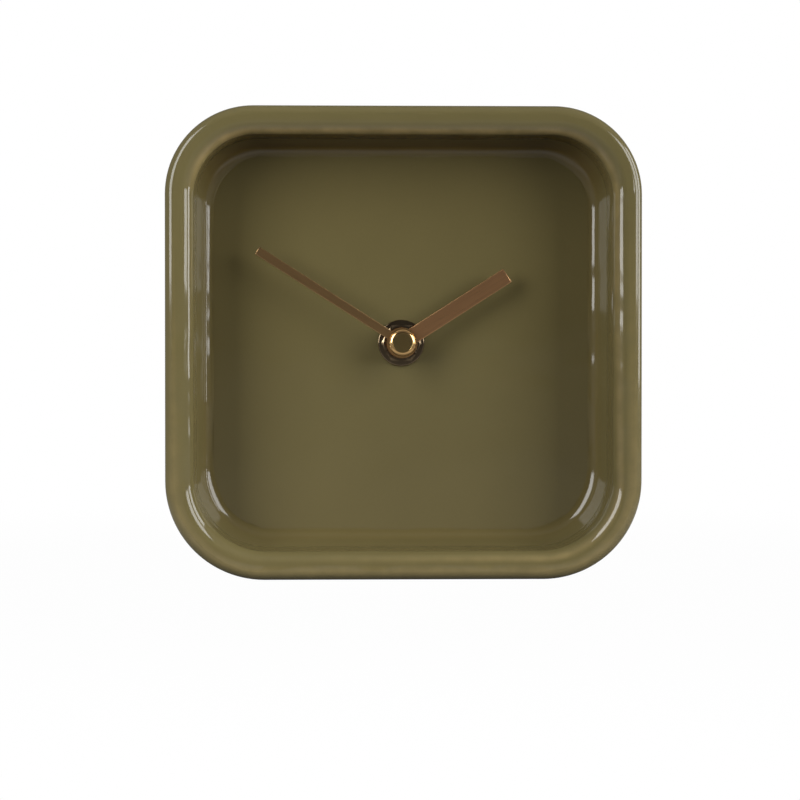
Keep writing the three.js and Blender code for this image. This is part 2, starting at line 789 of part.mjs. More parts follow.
// Second wheel and its pinion, between the minute arbor's tail and the bridge
function secondWheel() {
  const disc = wheelDisc(secondTeeth, secondModule, secondGear.phase, secondWheelY, secondWheelBackY);
  const leaves = pinionRod(secondPinionTeeth, thirdModule, 0, secondPinionY, secondPinionBackY);
  const arbor = rod(arborRadius, secondPinionBackY - leafOverhang, bridgeY - seatGap);
  const tailBoreY = clutchBackY - tailBoreFloor;
  const frontPivot = rod(pivotRadius, tailBoreY + seatGap, secondPinionY + leafOverhang);
  const backPivot = rod(pivotRadius, bridgeY - endGap, bridgeBackY - seatGap);
  return join(disc, leaves, arbor, frontPivot, backPivot);
}

// Intermediate wheel and its pinion, bored to run on a post of the bridge
function intermediateWheel() {
  const fromY = intermediatePinionY;
  const toY = intermediateWheelBackY;
  const disc = wheelDisc(intermediateTeeth, rotorModule, 0, intermediateWheelY, toY);
  const { phase } = intermediatePinion;
  const leaves = pinionRod(intermediatePinionTeeth, secondModule, phase, fromY, intermediateWheelY);
  const bore = rod(bridgePostRadius + turnGap, fromY - cutMargin, toY + cutMargin);
  return cut(join(disc, leaves), bore);
}

// Rotor's pinion on its arbor, which passes through the magnet
function rotorPinion() {
  const { phase } = rotorGear;
  const leaves = pinionRod(rotorTeeth, rotorModule, phase, rotorPinionY, rotorPinionBackY);
  const arbor = rod(pivotRadius, bossBoreY(magnetY) + seatGap, bridgeBackY - seatGap);
  return join(leaves, arbor);
}

// Magnet ring of the rotor
function rotorMagnet() {
  return sleeve(magnetRadius, pivotRadius + seatGap, magnetY, magnetY + magnetLength, coilSides);
}

// Bottom of the bore in a case boss, under the piece whose front face is given
function bossBoreY(pieceY) {
  return Math.max(caseInnerY + pivotBossFloor, pieceY - endGap - pivotLength);
}

// Case boss with a blind bore for a front pivot
function pivotBoss(axis, pieceY) {
  const boreRadius = pivotRadius + turnGap;
  const boss = rod(pivotBossRadius, caseFloorY, pieceY - endGap);
  const bore = rod(boreRadius, bossBoreY(pieceY), pieceY + cutMargin);
  return { boss: at(axis, boss), bore: at(axis, bore) };
}

// Bore for a screw whose head seats at the given depth
function screwBore(axis, seatY) {
  return at(axis, rod(screwShankRadius + seatGap, seatY - screwLength - seatGap, seatY + cutMargin));
}

// Slotted screw with its head seated at the given depth
function screw(seatY) {
  const headBackY = seatY + screwHeadHeight;
  const head = rod(screwHeadRadius, seatY, headBackY);
  const shank = rod(screwShankRadius, seatY - screwLength, seatY + screwHeadHeight / 2);
  const slot = block(
    [-screwHeadRadius - cutMargin, headBackY - screwSlotDepth, -screwSlotWidth / 2],
    [screwHeadRadius + cutMargin, headBackY + cutMargin, screwSlotWidth / 2],
  );
  return cut(join(head, shank), slot);
}

// Empty tray of the case, with the wall that closes off the battery bay
function caseTray() {
  const corner = [caseHalfWidth, caseHalf];
  const innerCorner = [caseInnerHalfWidth, caseInnerHalf];
  const outline = roundedRectangle(corner.map((v) => -v), corner, caseCornerRadius);
  const innerRadius = caseCornerRadius - caseWall;
  const hollow = roundedRectangle(innerCorner.map((v) => -v), innerCorner, innerRadius);
  const tray = cut(plate(outline, caseFrontY, caseBackY), plate(hollow, caseInnerY, coverY + cutMargin));
  const wallX = caseInnerHalfWidth - bayWallNotch;
  const bayPartition = block([-wallX, caseFloorY, bayTopZ], [wallX, caseBackY, bayWallTopZ]);
  return join(tray, bayPartition);
}

// Round notch in the bay's lower wall, where a finger lifts the cell
function fingerNotch() {
  const length = 2 * (caseWall + cutMargin);
  const notch = new THREE.CylinderGeometry(fingerNotchRadius, fingerNotchRadius, length, roundSides);
  return notch.rotateX(Math.PI / 2).translate(0, caseBackY, -caseHalf);
}

// Case: tray, pillars for the bridge, posts for the motor, and the bosses and pins of the wheels
function movementFrontCase() {
  const third = pivotBoss(thirdAxis, thirdPinionY);
  const rotor = pivotBoss(rotorAxis, magnetY);
  const solid = join(
    caseTray(),
    third.boss,
    rotor.boss,
    at(motionAxis, rod(minutePostRadius, caseFloorY, minuteWheelBackY)),
    at(settingAxis, rod(settingShaftRadius, caseFloorY, cannonY - endGap)),
    at(settingAxis, rod(settingPinRadius, caseFloorY, cannonBackY - endGap)),
    ...pillarAxes.map((axis) => at(axis, rod(pillarRadius, caseFloorY, bridgeY))),
    ...armAxes.map((axis) => at(axis, rod(statorArmWidth / 2, caseFloorY, statorY))),
  );
  return cut(
    solid,
    third.bore,
    rotor.bore,
    ...pillarAxes.map((axis) => screwBore(axis, bridgeBackY)),
    ...armAxes.map((axis) => screwBore(axis, coreBackY)),
    rod(bushingSpigotRadius + seatGap, caseFrontY - cutMargin, caseInnerY + cutMargin, roundSides),
    fingerNotch(),
  );
}

// Plate over the pillars that carries the rear pivots and the intermediate wheel's post
function trainBridge() {
  const xs = pillarAxes.map(([x]) => x);
  const zs = pillarAxes.map(([, z]) => z);
  const low = [Math.min(...xs) - bridgeMargin, Math.min(...zs) - bridgeMargin];
  const high = [Math.max(...xs) + bridgeMargin, Math.max(...zs) + bridgeMargin];
  const sheet = plate(roundedRectangle(low, high, bridgeMargin), bridgeY, bridgeBackY);
  const post = rod(bridgePostRadius, intermediatePinionY + seatGap, bridgeY + bridgeThickness / 2);
  const pivotAxes = [centreAxis, thirdAxis, rotorAxis];
  const hole = (axis, radius) => at(axis, rod(radius, bridgeY - cutMargin, bridgeBackY + cutMargin));
  return cut(
    join(sheet, at(intermediateAxis, post)),
    ...pivotAxes.map((axis) => hole(axis, pivotRadius + turnGap)),
    ...pillarAxes.map((axis) => screwBore(axis, bridgeBackY)),
    hole(settingAxis, settingShaftRadius + turnGap),
  );
}

// Cover over the train, with a rim inside the case walls and a hole for the setting shaft
function rearCover() {
  const low = [-caseHalfWidth, bayTopZ];
  const high = [caseHalfWidth, caseHalf];
  const lid = plate(roundedRectangle(low, high, caseCornerRadius), coverY, coverBackY);
  const rimX = caseInnerHalfWidth - wallGap;
  const rimLowZ = bayWallTopZ + wallGap;
  const rimHighZ = caseInnerHalf - wallGap;
  const rimFrontY = coverY - coverRimDepth;
  const rim = block([-rimX, rimFrontY, rimLowZ], [rimX, coverY + coverThickness / 2, rimHighZ]);
  const inside = block(
    [coverRimWall - rimX, rimFrontY - cutMargin, rimLowZ + coverRimWall],
    [rimX - coverRimWall, coverY, rimHighZ - coverRimWall],
  );
  const shaftHole = rod(settingShaftRadius + turnGap, coverY - cutMargin, coverBackY + cutMargin);
  return cut(join(lid, rim), inside, at(settingAxis, shaftHole));
}

// Stator plate: a lobe on each side of the rotor and two arms up to the coil
function statorPlate() {
  const [rotorX, rotorZ] = rotorAxis;
  const holeRadius = magnetRadius + statorGap;
  const lowZ = rotorZ - holeRadius - statorBridge;
  const lobeTopZ = rotorZ + holeRadius + statorBridge;
  const armTopZ = coilAxisZ + statorArmWidth / 2;
  const armOuterX = statorArmSpan / 2;
  const armInnerX = armOuterX - statorArmWidth;
  const right = [
    [statorWidth / 2, lowZ],
    [statorWidth / 2, lowZ + statorShoulder],
    [armOuterX, lowZ + statorShoulder + statorChamfer],
    [armOuterX, armTopZ],
    [armInnerX, armTopZ],
    [armInnerX, lobeTopZ],
  ];
  const left = right.map(([x, z]) => [-x, z]).reverse();
  const shape = new THREE.Shape([...right, ...left].map(([x, z]) => new THREE.Vector2(x, z)));
  const thirdTip = (thirdTeeth / 2 + addendum) * thirdModule;
  const relief = rod(thirdTip + endGap, statorY - cutMargin, statorBackY + cutMargin, roundSides);
  const hole = rod(holeRadius, statorY - cutMargin, statorBackY + cutMargin, roundSides);
  return cut(
    plate(shape, statorY, statorBackY),
    at([rotorX, rotorZ], hole),
    at(thirdAxis, relief),
    ...armAxes.map((axis) => screwBore(axis, coreBackY)),
  );
}

// Flat core through the coil, screwed down on the stator's arms
function coilCore() {
  const halfLength = statorArmSpan / 2;
  const low = [-halfLength, statorBackY, coilAxisZ - coreWidth / 2];
  const high = [halfLength, coreBackY, coilAxisZ + coreWidth / 2];
  const ends = armAxes.map((axis) => at(axis, rod(statorArmWidth / 2, statorBackY, coreBackY)));
  return cut(join(block(low, high), ...ends), ...armAxes.map((axis) => screwBore(axis, coreBackY)));
}

// Turned piece of the coil, from its profile along X
function onCoilAxis(profile) {
  return turned(profile, coilSides).rotateZ(-Math.PI / 2).translate(0, coilAxisY, coilAxisZ);
}

// Bobbin with a flange at each end
function coilBobbin() {
  const bore = Math.hypot(coreWidth, coreThickness) / 2 + seatGap;
  const half = bobbinLength / 2;
  const inside = half - bobbinFlange;
  return onCoilAxis([
    [bore, -half],
    [bobbinFlangeRadius, -half],
    [bobbinFlangeRadius, -inside],
    [bobbinBarrelRadius, -inside],
    [bobbinBarrelRadius, inside],
    [bobbinFlangeRadius, inside],
    [bobbinFlangeRadius, half],
    [bore, half],
    [bore, -half],
  ]);
}

// Body of fine wire between the flanges
function coilWinding() {
  const half = bobbinLength / 2 - bobbinFlange - seatGap;
  const bore = bobbinBarrelRadius + seatGap;
  return onCoilAxis([
    [bore, -half],
    [windingRadius, -half],
    [windingRadius, half],
    [bore, half],
    [bore, -half],
  ]);
}

// Board behind the coil, with holes over the upper bridge screws
function circuitBoard() {
  const low = [-boardHalfWidth, boardLowZ];
  const shape = roundedRectangle(low, [boardHalfWidth, boardTopZ], boardCornerRadius);
  const upperScrews = pillarAxes.filter(([, z]) => z > 0);
  const hole = rod(screwHeadRadius + seatGap, boardY - cutMargin, boardBackY + cutMargin);
  return cut(plate(shape, boardY, boardBackY), ...upperScrews.map((axis) => at(axis, hole)));
}

// Can of the crystal, lying on the board's front face
function quartzCrystal() {
  const can = rod(crystalRadius, -crystalLength / 2, crystalLength / 2);
  return can.rotateZ(-Math.PI / 2).translate(crystalX, boardY - seatGap - crystalRadius, coilAxisZ);
}

// Resin drop over the control chip, on the board's rear face
function controlChip() {
  const fromY = boardBackY + seatGap;
  const crown = chipCrown.map((share) => [
    chipRadius * Math.sqrt(1 - share * share),
    fromY + chipHeight * share,
  ]);
  const profile = [[0, fromY], [chipRadius, fromY], ...crown, [0, fromY + chipHeight]];
  return at([chipX, coilAxisZ], turned(profile, smallSides));
}

// Flat of a contact strip against the bay's end, with the tail that runs up to the board
function contactStrip(side) {
  const outerX = side * contactX;
  const innerX = side * (contactX - contactThickness);
  const [x0, x1] = [Math.min(outerX, innerX), Math.max(outerX, innerX)];
  const low = cellAxisZ - contactReach;
  const flat = block(
    [x0, cellAxisY - contactWidth / 2, low],
    [x1, cellAxisY + contactWidth / 2, cellAxisZ + contactReach],
  );
  const tail = block([x0, boardBackY - contactTailWidth, low], [x1, boardBackY, boardLowZ + contactReach]);
  return join(flat, tail);
}

// Bowed leaf that presses on the cell's flat end
function contactLeaf() {
  const footX = contactX - contactThickness / 2;
  const bowX = footX - contactThickness - 2 * leafBulge;
  const lowZ = cellAxisZ - contactReach + contactThickness;
  const highZ = cellAxisZ + contactReach - contactThickness;
  const shape = new THREE.Shape();
  shape.moveTo(footX, lowZ);
  shape.quadraticCurveTo(bowX, cellAxisZ, footX, highZ);
  shape.lineTo(footX, highZ - leafFootWidth);
  shape.quadraticCurveTo(bowX + leafFootWidth, cellAxisZ, footX, lowZ + leafFootWidth);
  shape.closePath();
  const halfWidth = contactWidth / 2 - contactThickness;
  return plate(shape, cellAxisY - halfWidth, cellAxisY + halfWidth, 2 * arcSteps);
}

// Cell lying across the bay, its nub to the left as seen from the front
function batteryCell() {
  const far = cellLength;
  const cell = turned([
    [0, 0],
    [nubRadius, 0],
    [nubRadius, nubLength],
    [cellRadius - cellEdgeRadius, nubLength],
    [cellRadius, nubLength + cellEdgeRadius],
    [cellRadius, far - cellEdgeRadius],
    [cellRadius - cellEdgeRadius, far],
    [0, far],
  ]);
  return cell.rotateZ(-Math.PI / 2).translate(cellTipX, cellAxisY, cellAxisZ);
}

// Everything on the hands' axis or behind the dial, from the front back
function movement() {
  const group = new THREE.Group();
  group.position.set(0, 0, axisHeight);
  const hour = piece('hour_hand', hourHand(), roseGold);
  hour.rotation.y = THREE.MathUtils.degToRad(hourHandAngle);
  const minute = piece('minute_hand', minuteHand(), roseGold);
  minute.rotation.y = THREE.MathUtils.degToRad(minuteHandAngle);
  group.add(
    piece('hand_cap_nut', handCapNut(), polishedBrass),
    minute,
    hour,
    piece('hex_nut', hexNut(), blackNickel),
    piece('front_washer', frontWasher(), blackNickel),
    piece('threaded_bushing', threadedBushing(), turnedBrass),
    piece('rubber_gasket', rubberGasket(), softRubber),
    piece('movement_front_case', movementFrontCase(), blackPlastic),
    piece('hour_wheel', hourWheel(), whiteAcetal),
    piece('minute_arbor', minuteArbor(), turnedBrass),
    piece('minute_wheel', minuteWheel(), whiteAcetal, motionAxis),
    piece('setting_pinion', settingPinion(), whiteAcetal, settingAxis),
    piece('centre_wheel', centreWheel(), whiteAcetal),
    piece('clutch_spring', clutchSpring(), nickelSteel),
    piece('third_wheel', thirdWheel(), whiteAcetal, thirdAxis),
    piece('second_wheel', secondWheel(), whiteAcetal),
    piece('intermediate_wheel', intermediateWheel(), whiteAcetal, intermediateAxis),
    piece('rotor_magnet', rotorMagnet(), darkFerrite, rotorAxis),
    piece('rotor_pinion', rotorPinion(), whiteAcetal, rotorAxis),
    piece('stator_plate', statorPlate(), electricSteel),
    piece('coil_core', coilCore(), electricSteel),
    piece('coil_bobbin', coilBobbin(), bobbinPlastic),
    piece('coil_winding', coilWinding(), copperWire),
    piece('train_bridge', trainBridge(), blackPlastic),
    piece('circuit_board', circuitBoard(), boardGreen),
    piece('quartz_crystal', quartzCrystal(), nickelSteel),
    piece('control_chip', controlChip(), blackResin),
    piece('rear_cover', rearCover(), blackPlastic),
    piece('setting_knob', settingKnob(), blackPlastic, settingAxis),
    piece('positive_contact', contactStrip(-1), nickelSteel),
    piece('negative_contact', join(contactStrip(1), contactLeaf()), nickelSteel),
    piece('battery_cell', batteryCell(), cellJacket),
  );
  pillarAxes.forEach((axis, i) => {
    group.add(piece(`bridge_screw_${i + 1}`, screw(bridgeBackY), nickelSteel, axis));
  });
  armAxes.forEach((axis, i) => {
    group.add(piece(`stator_screw_${i + 1}`, screw(coreBackY), nickelSteel, axis));
  });
  return group;
}

const clock = new THREE.Group();
clock.add(piece('ceramic_body', ceramicBody(), oliveGlaze), movement());

export default clock;
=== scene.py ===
"""Ceramic table clock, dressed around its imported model.

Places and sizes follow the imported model: +Z is up, the dial faces -Y and the block stands on z = 0.
The classes hold their sizes in millimetres, and the meshes are in metres.
"""

import logging
import math
from collections.abc import Callable, Iterable, Mapping, Sequence
from dataclasses import dataclass
from enum import Enum
from itertools import pairwise

import bmesh
import bpy
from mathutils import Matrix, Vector


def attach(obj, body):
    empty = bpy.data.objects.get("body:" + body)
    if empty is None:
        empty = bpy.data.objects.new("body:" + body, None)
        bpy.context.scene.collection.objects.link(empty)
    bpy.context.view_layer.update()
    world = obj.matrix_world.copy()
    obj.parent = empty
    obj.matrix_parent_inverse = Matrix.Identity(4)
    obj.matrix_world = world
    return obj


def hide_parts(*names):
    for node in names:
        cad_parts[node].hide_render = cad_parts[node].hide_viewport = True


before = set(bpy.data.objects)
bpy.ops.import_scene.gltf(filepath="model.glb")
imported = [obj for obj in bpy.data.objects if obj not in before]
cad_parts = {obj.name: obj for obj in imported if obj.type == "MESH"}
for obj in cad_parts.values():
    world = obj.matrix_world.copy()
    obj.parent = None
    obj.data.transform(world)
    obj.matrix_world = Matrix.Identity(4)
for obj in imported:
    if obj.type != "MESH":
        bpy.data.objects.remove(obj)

Pair = tuple[float, float]
Profile = Sequence[Pair]
Rgb = tuple[float, float, float]
Value = "Signal | float | Rgb"

MM = 0.001  # in metres
AXIS_HEIGHT = 67.0  # of the hands' axis above the table
HANDS_AXIS = (0.0, AXIS_HEIGHT)
ORIGIN = (0.0, 0.0)
FACING_FRONT = (math.pi / 2, 0.0, 0.0)
MINUTE_TURN = 302.5  # degrees clockwise from twelve, as HOUR_TURN
HOUR_TURN = 57.4
CAP_CORE = 2.8  # radius of the cap's inner disc
NEAR = 0.01  # points closer than this to a plane lie in it
PAST = 1.0  # how far a drill reaches past what it cuts
WAVE_LENGTH = 0.314  # length of one band of a Wave texture at scale 1
SOFTBOX_DISTANCE = 1.0  # metres from the clock
IMAGE_SIZE = 800.0  # pixels
log = logging.getLogger("clock")


class Hold(Enum):
    """What an edit takes hold of."""

    VERTS = "VERT"
    EDGES = "EDGE"
    FACES = "FACE"


class Join(Enum):
    """What one piece does to another."""

    ADD = "UNION"
    CUT = "DIFFERENCE"
    TRIM = "INTERSECT"


class Side(Enum):
    """Which way a softbox stands from the clock."""

    LEFT = -1.0
    RIGHT = 1.0


class Body(Enum):
    """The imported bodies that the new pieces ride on."""

    CLOCK = "clock"
    MINUTE = "minute"
    HOUR = "hour"
    SETTING = "setting"


def arc(centre: Pair, radius: float, start: float, end: float, steps: int) -> Profile:
    """Points of an arc.

    Args:
        centre: Centre of the arc.
        radius: Its radius.
        start: Angle of the first point, in degrees.
        end: Angle of the last point, in degrees.
        steps: Number of chords.

    Returns:
        The points, from start to end.
    """
    angles = [math.radians(start + (end - start) * i / steps) for i in range(steps + 1)]
    return [(centre[0] + radius * math.cos(a), centre[1] + radius * math.sin(a)) for a in angles]


def ring(inner: float, outer: float, front: float, back: float) -> Profile:
    """Closed profile of a flat ring, by its radii and the depths of its faces."""
    return [(inner, front), (outer, front), (outer, back), (inner, back), (inner, front)]


def ramp(value: float, start: float, end: float) -> float:
    """Straight step from 0 at start to 1 at end, which may lie on either side of start."""
    return min(1.0, max(0.0, (value - start) / (end - start)))


def bell(value: float, middle: float, width: float) -> float:
    """Bell curve that is 1 at its middle."""
    return math.exp(-(((value - middle) / width) ** 2))


def shaded(colour: Rgb, factor: float) -> Rgb:
    """A colour, lighter or darker by a factor."""
    return tuple(c * factor for c in colour)


class Signal:
    """One output of a node tree, for shader maths that is written as plain expressions."""

    def __init__(self, nodes: "Nodes", socket: bpy.types.NodeSocket) -> None:
        """Wraps a socket of a tree."""
        self.nodes = nodes
        self.socket = socket

    def math(self, operation: str, first: Value, second: Value) -> "Signal":
        """Adds a Math node with two operands."""
        return self.nodes.node("ShaderNodeMath", {"operation": operation}, {0: first, 1: second})

    def __add__(self, other: Value) -> "Signal":
        """Sum."""
        return self.math("ADD", self, other)

    def __sub__(self, other: Value) -> "Signal":
        """Difference."""
        return self.math("SUBTRACT", self, other)

    def __rsub__(self, other: Value) -> "Signal":
        """Difference, with this value taken away."""
        return self.math("SUBTRACT", other, self)

    def __mul__(self, other: Value) -> "Signal":
        """Product."""
        return self.math("MULTIPLY", self, other)

    __radd__ = __add__
    __rmul__ = __mul__

    def between(self, low: float, high: float) -> "Signal":
        """Smooth step from 0 at low to 1 at high."""
        settings = {"interpolation_type": "SMOOTHSTEP"}
        return self.nodes.node("ShaderNodeMapRange", settings, {0: self, 1: low, 2: high})

    def past(self, place: float, blur: float) -> "Signal":
        """Step from 0 before a place to 1 past it, blurred to both sides."""
        return self.between(place - blur, place + blur)


class Nodes:
    """A node tree that grows by one method."""

    def __init__(self, tree: bpy.types.NodeTree) -> None:
        """Takes a tree in hand."""
        self.tree = tree

    def node(
        self,
        kind: str,
        settings: Mapping[str, object] | None = None,
        inputs: Mapping[int | str, Value] | None = None,
        output: int | str = 0,
    ) -> Signal:
        """Adds a node.

        Args:
            kind: The node's type.
            settings: Its settings, set first.
            inputs: Values or links of its sockets, by name or number.
            output: The output that is wanted.

        Returns:
            That output.
        """
        made = self.tree.nodes.new(kind)
        for key, value in (settings or {}).items():
            setattr(made, key, value)
        for key, value in (inputs or {}).items():
            self.plug(made.inputs[key], value)
        return Signal(self, made.outputs[output])

    def plug(self, socket: bpy.types.NodeSocket, value: Value) -> None:
        """Links a signal to a socket, or sets the socket's own value.

        Args:
            socket: The socket.
            value: The signal, number, colour or vector that it gets.
        """
        if isinstance(value, Signal):
            self.tree.links.new(value.socket, socket)
        elif isinstance(value, tuple) and socket.type == "RGBA":
            socket.default_value = (*value, 1.0)
        else:
            socket.default_value = value


class Shader(Nodes):
    """A finish's node tree, around its Principled shader."""

    def __init__(self, name: str) -> None:
        """Makes a material and keeps its Principled shader.

        Args:
            name: The material's name.
        """
        self.material = bpy.data.materials.new(name)
        self.material.use_nodes = True
        super().__init__(self.material.node_tree)
        self.surface = self.tree.nodes["Principled BSDF"]

    def set(self, **constants: Value) -> None:
        """Sets constants on the Principled shader's own sockets, such as Coat_Weight."""
        for key, value in constants.items():
            self.plug(self.surface.inputs[key.replace("_", " ")], value)

    def drive(self, name: str, signal: Signal) -> None:
        """Feeds one of the Principled shader's sockets."""
        self.plug(self.surface.inputs[name], signal)

    def place(self) -> Signal:
        """The point's place in the clock's own frame."""
        return self.node("ShaderNodeTexCoord", output="Object")

    def axes(self) -> tuple[Signal, Signal, Signal]:
        """The point's X, Y and Z."""
        made = self.node("ShaderNodeSeparateXYZ", inputs={0: self.place()})
        return tuple(Signal(self, out) for out in made.socket.node.outputs)

    def attribute(self, name: str) -> Signal:
        """A number kept on the mesh's points."""
        return self.node("ShaderNodeAttribute", {"attribute_name": name}, output="Fac")

    def mapped(self, scale: Rgb, turn: Rgb = (0.0, 0.0, 0.0)) -> Signal:
        """The place, turned and then stretched."""
        turned = self.node("ShaderNodeMapping", inputs={"Vector": self.place(), "Rotation": turn})
        return self.node("ShaderNodeMapping", inputs={"Vector": turned, "Scale": scale})

    def noise(self, size: float, detail: float = 2.0, place: Signal | None = None) -> Signal:
        """Soft noise from 0 to 1.

        Args:
            size: Size of its grains, in millimetres.
            detail: How many finer layers it has.
            place: Coordinates, the clock's own unless given.

        Returns:
            The noise.
        """
        inputs = {"Vector": place or self.place(), "Scale": 1.0 / (size * MM), "Detail": detail}
        return self.node("ShaderNodeTexNoise", inputs=inputs)

    def blend(self, share: Value, first: Value, second: Value) -> Signal:
        """Mixes two colours by a share."""
        return self.node("ShaderNodeMix", {"data_type": "RGBA"}, {0: share, 6: first, 7: second}, 2)

    def radius(self) -> Signal:
        """Distance from the hands' axis, which runs along Y.

        Returns:
            The distance in metres.
        """
        flatten = {0: self.place(), 1: (1.0, 0.0, 1.0)}
        flat = self.node("ShaderNodeVectorMath", {"operation": "MULTIPLY"}, flatten)
        ends = {0: flat, 1: (0.0, 0.0, AXIS_HEIGHT * MM)}
        return self.node("ShaderNodeVectorMath", {"operation": "DISTANCE"}, ends, "Value")

    def bump(self, height: Signal, depth: float) -> None:
        """Raises the surface by a signal, to a depth in millimetres."""
        inputs = {"Height": height, "Distance": depth * MM, "Strength": 1.0}
        self.drive("Normal", self.node("ShaderNodeBump", inputs=inputs))


@dataclass(frozen=True)
class Finish:
    """What every finish has: a colour in linear light with its tints, its gloss and its relief."""

    name: str
    colour: Rgb
    roughness: float
    metallic: float = 0.0
    tints: Pair = (0.85, 1.15)
    depth: float = 0.010

    def material(self) -> bpy.types.Material:
        """Makes the finish's material, or finds it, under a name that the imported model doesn't use.

        Returns:
            The material.
        """
        name = f"fine_{self.name}"
        known = bpy.data.materials.get(name)
        if known:
            return known
        shader = Shader(name)
        shader.set(Base_Color=self.colour, Roughness=self.roughness, Metallic=self.metallic)
        self.detail(shader)
        return shader.material

    def detail(self, shader: Shader) -> None:
        """Adds what varies over the surface."""

    def tinted(self, shader: Shader, share: Signal) -> Signal:
        """The finish's colour, from its darkest to its lightest tint by a share."""
        return shader.blend(share, *(shaded(self.colour, factor) for factor in self.tints))

    def skin(self, shader: Shader, colour: Signal, gloss: Signal, height: Signal) -> None:
        """Feeds the shader what varies over the surface.

        Args:
            shader: The finish's tree.
            colour: Its base colour.
            gloss: Its roughness.
            height: Its relief, which rises to the finish's depth.
        """
        shader.drive("Base Color", colour)
        shader.drive("Roughness", gloss)
        shader.bump(height, self.depth)


@dataclass(frozen=True)
class Glaze(Finish):
    """Glossy coloured glaze that thins on ridges, pools in hollows and leaves the rear rim bare, with
    painted light on the top lip's inner roll and towards the bottom, and painted shade on faces
    turned down under the top lip.
    """

    tints: Pair = (0.80, 1.20)
    # tan of thin glaze, also laid on the top lip's inner roll as painted light
    thin_glaze_and_light_colour: Rgb = (0.420, 0.305, 0.130)
    # darker glaze where it pools in the fillet, and painted shade on faces turned down under the top
    # lip
    pool_and_shade_colour: Rgb = (0.105, 0.070, 0.018)
    bare_colour: Rgb = (0.560, 0.430, 0.300)
    bare_shade: float = 0.8
    bare_from: float = 24.55
    bare_to: float = 24.85
    bare_wander: float = 0.5
    bare_roughness: float = 0.72
    lean_across: float = -3.3
    # painted light: the glaze is lighter towards the bottom and darker towards the top
    painted_light_lean_up: float = -1.5
    mottle_size: float = 22.0
    mottle_share: float = 0.35
    speck_size: float = 0.7
    speck_share: float = 0.15
    streak_size: float = 5.0
    streak: Pair = (0.30, 0.72)
    streak_share: float = 0.45
    depth: float = 0.5
    wave_size: float = 13.0
    wave_rim_share: float = 0.85
    ripple_size: float = 2.2
    ripple_share: float = 0.005
    clay_share: float = 0.03

    def detail(self, shader: Shader) -> None:
        """Mottling, thin ridges, deeper pools, a bare rim and the gentle waves of a fired skin, with
        painted light and shade: lighter on the top lip's inner roll and towards the bottom, darker on
        faces turned down under the top lip.

        Args:
            shader: The finish's tree.
        """
        mottle = shader.noise(self.mottle_size, 3.0) - 0.5
        speck = shader.noise(self.speck_size) - 0.5
        across, depth, up = shader.axes()
        # the across term is a tone of the glaze; the upward term is painted light, lighter towards
        # the bottom
        lean = self.lean_across * across + self.painted_light_lean_up * (up - AXIS_HEIGHT * MM)
        shade = 0.5 + lean + self.mottle_share * mottle + self.speck_share * speck
        glaze = self.tinted(shader, shade)
        # pool colour: real pooling in the fillet, plus painted shade on faces turned down under the
        # top lip
        pooled_and_shaded = shader.blend(shader.attribute("pool"), glaze, self.pool_and_shade_colour)
        streak = shader.noise(self.streak_size, 3.0).between(*self.streak)
        thin_and_lit_ridge = shader.attribute("thin_and_lit_ridge") * (1.0 - self.streak_share + self.streak_share * streak)
        # the tan of thin glaze, which on the top lip's inner roll is painted light
        thinned_and_lit = shader.blend(thin_and_lit_ridge, pooled_and_shaded, self.thin_glaze_and_light_colour)
        edge = depth * (1.0 / MM) + self.bare_wander * (shader.noise(3.0) - 0.5)
        bare = edge.between(self.bare_from, self.bare_to)
        dark_clay = shaded(self.bare_colour, self.bare_shade)
        clay = shader.blend(shader.noise(0.9, 4.0), self.bare_colour, dark_clay)
        colour = shader.blend(bare, thinned_and_lit, clay)
        gloss = self.roughness + 0.04 * shader.noise(9.0) + self.bare_roughness * bare
        rim = 1.0 - self.wave_rim_share + self.wave_rim_share * shader.attribute("rim")
        swell = rim * (shader.noise(self.wave_size, 1.0) - 0.5)
        ripple = self.ripple_share * shader.noise(self.ripple_size, 1.0)
        grain = self.clay_share * bare * shader.noise(0.4)
        self.skin(shader, colour, gloss, swell + ripple + grain)


@dataclass(frozen=True)
class Brushed(Finish):
    """Metal brushed along one direction of the dial."""

    tints: Pair = (0.80, 1.18)
    turn: float = 0.0
    stretch: float = 0.012
    fine_size: float = 0.07
    broad_size: float = 0.5
    swing: float = 0.12
    depth: float = 0.0016

    def detail(self, shader: Shader) -> None:
        """Long fine strokes in the colour, the gloss and the relief.

        Args:
            shader: The finish's tree.
        """
        strokes = shader.mapped((1.0, 1.0, self.stretch), (0.0, -math.radians(self.turn), 0.0))
        fine = shader.noise(self.fine_size, 2.0, strokes)
        broad = shader.noise(self.broad_size, 2.0, strokes)
        gloss = self.roughness - self.swing / 2 + self.swing * fine
        self.skin(shader, self.tinted(shader, 0.55 * fine + 0.45 * broad), gloss, fine)


@dataclass(frozen=True)
class Turned(Finish):
    """Metal turned about the hands' axis, with a core of another colour where it has one."""

    tints: Pair = (0.86, 1.10)
    pitch: float = 0.12
    depth: float = 0.002
    cloud_size: float = 1.6
    core_radius: float = 0.0
    core_blur: float = 0.06
    core_colour: Rgb = (0.625, 0.442, 0.176)

    def detail(self, shader: Shader) -> None:
        """Fine rings about the axis, with a soft cloud over the gloss.

        Args:
            shader: The finish's tree.
        """
        rings = shader.radius()
        place = shader.node("ShaderNodeCombineXYZ", inputs={0: rings})
        cut = shader.noise(self.pitch, 2.0, place)
        cloud = shader.noise(self.cloud_size)
        metal = self.tinted(shader, 0.5 * cut + 0.5 * cloud)
        if self.core_radius > 0.0:
            outside = rings.past(self.core_radius * MM, self.core_blur * MM)
            metal = shader.blend(outside, self.core_colour, metal)
        self.skin(shader, metal, self.roughness + 0.05 * cloud, cut)


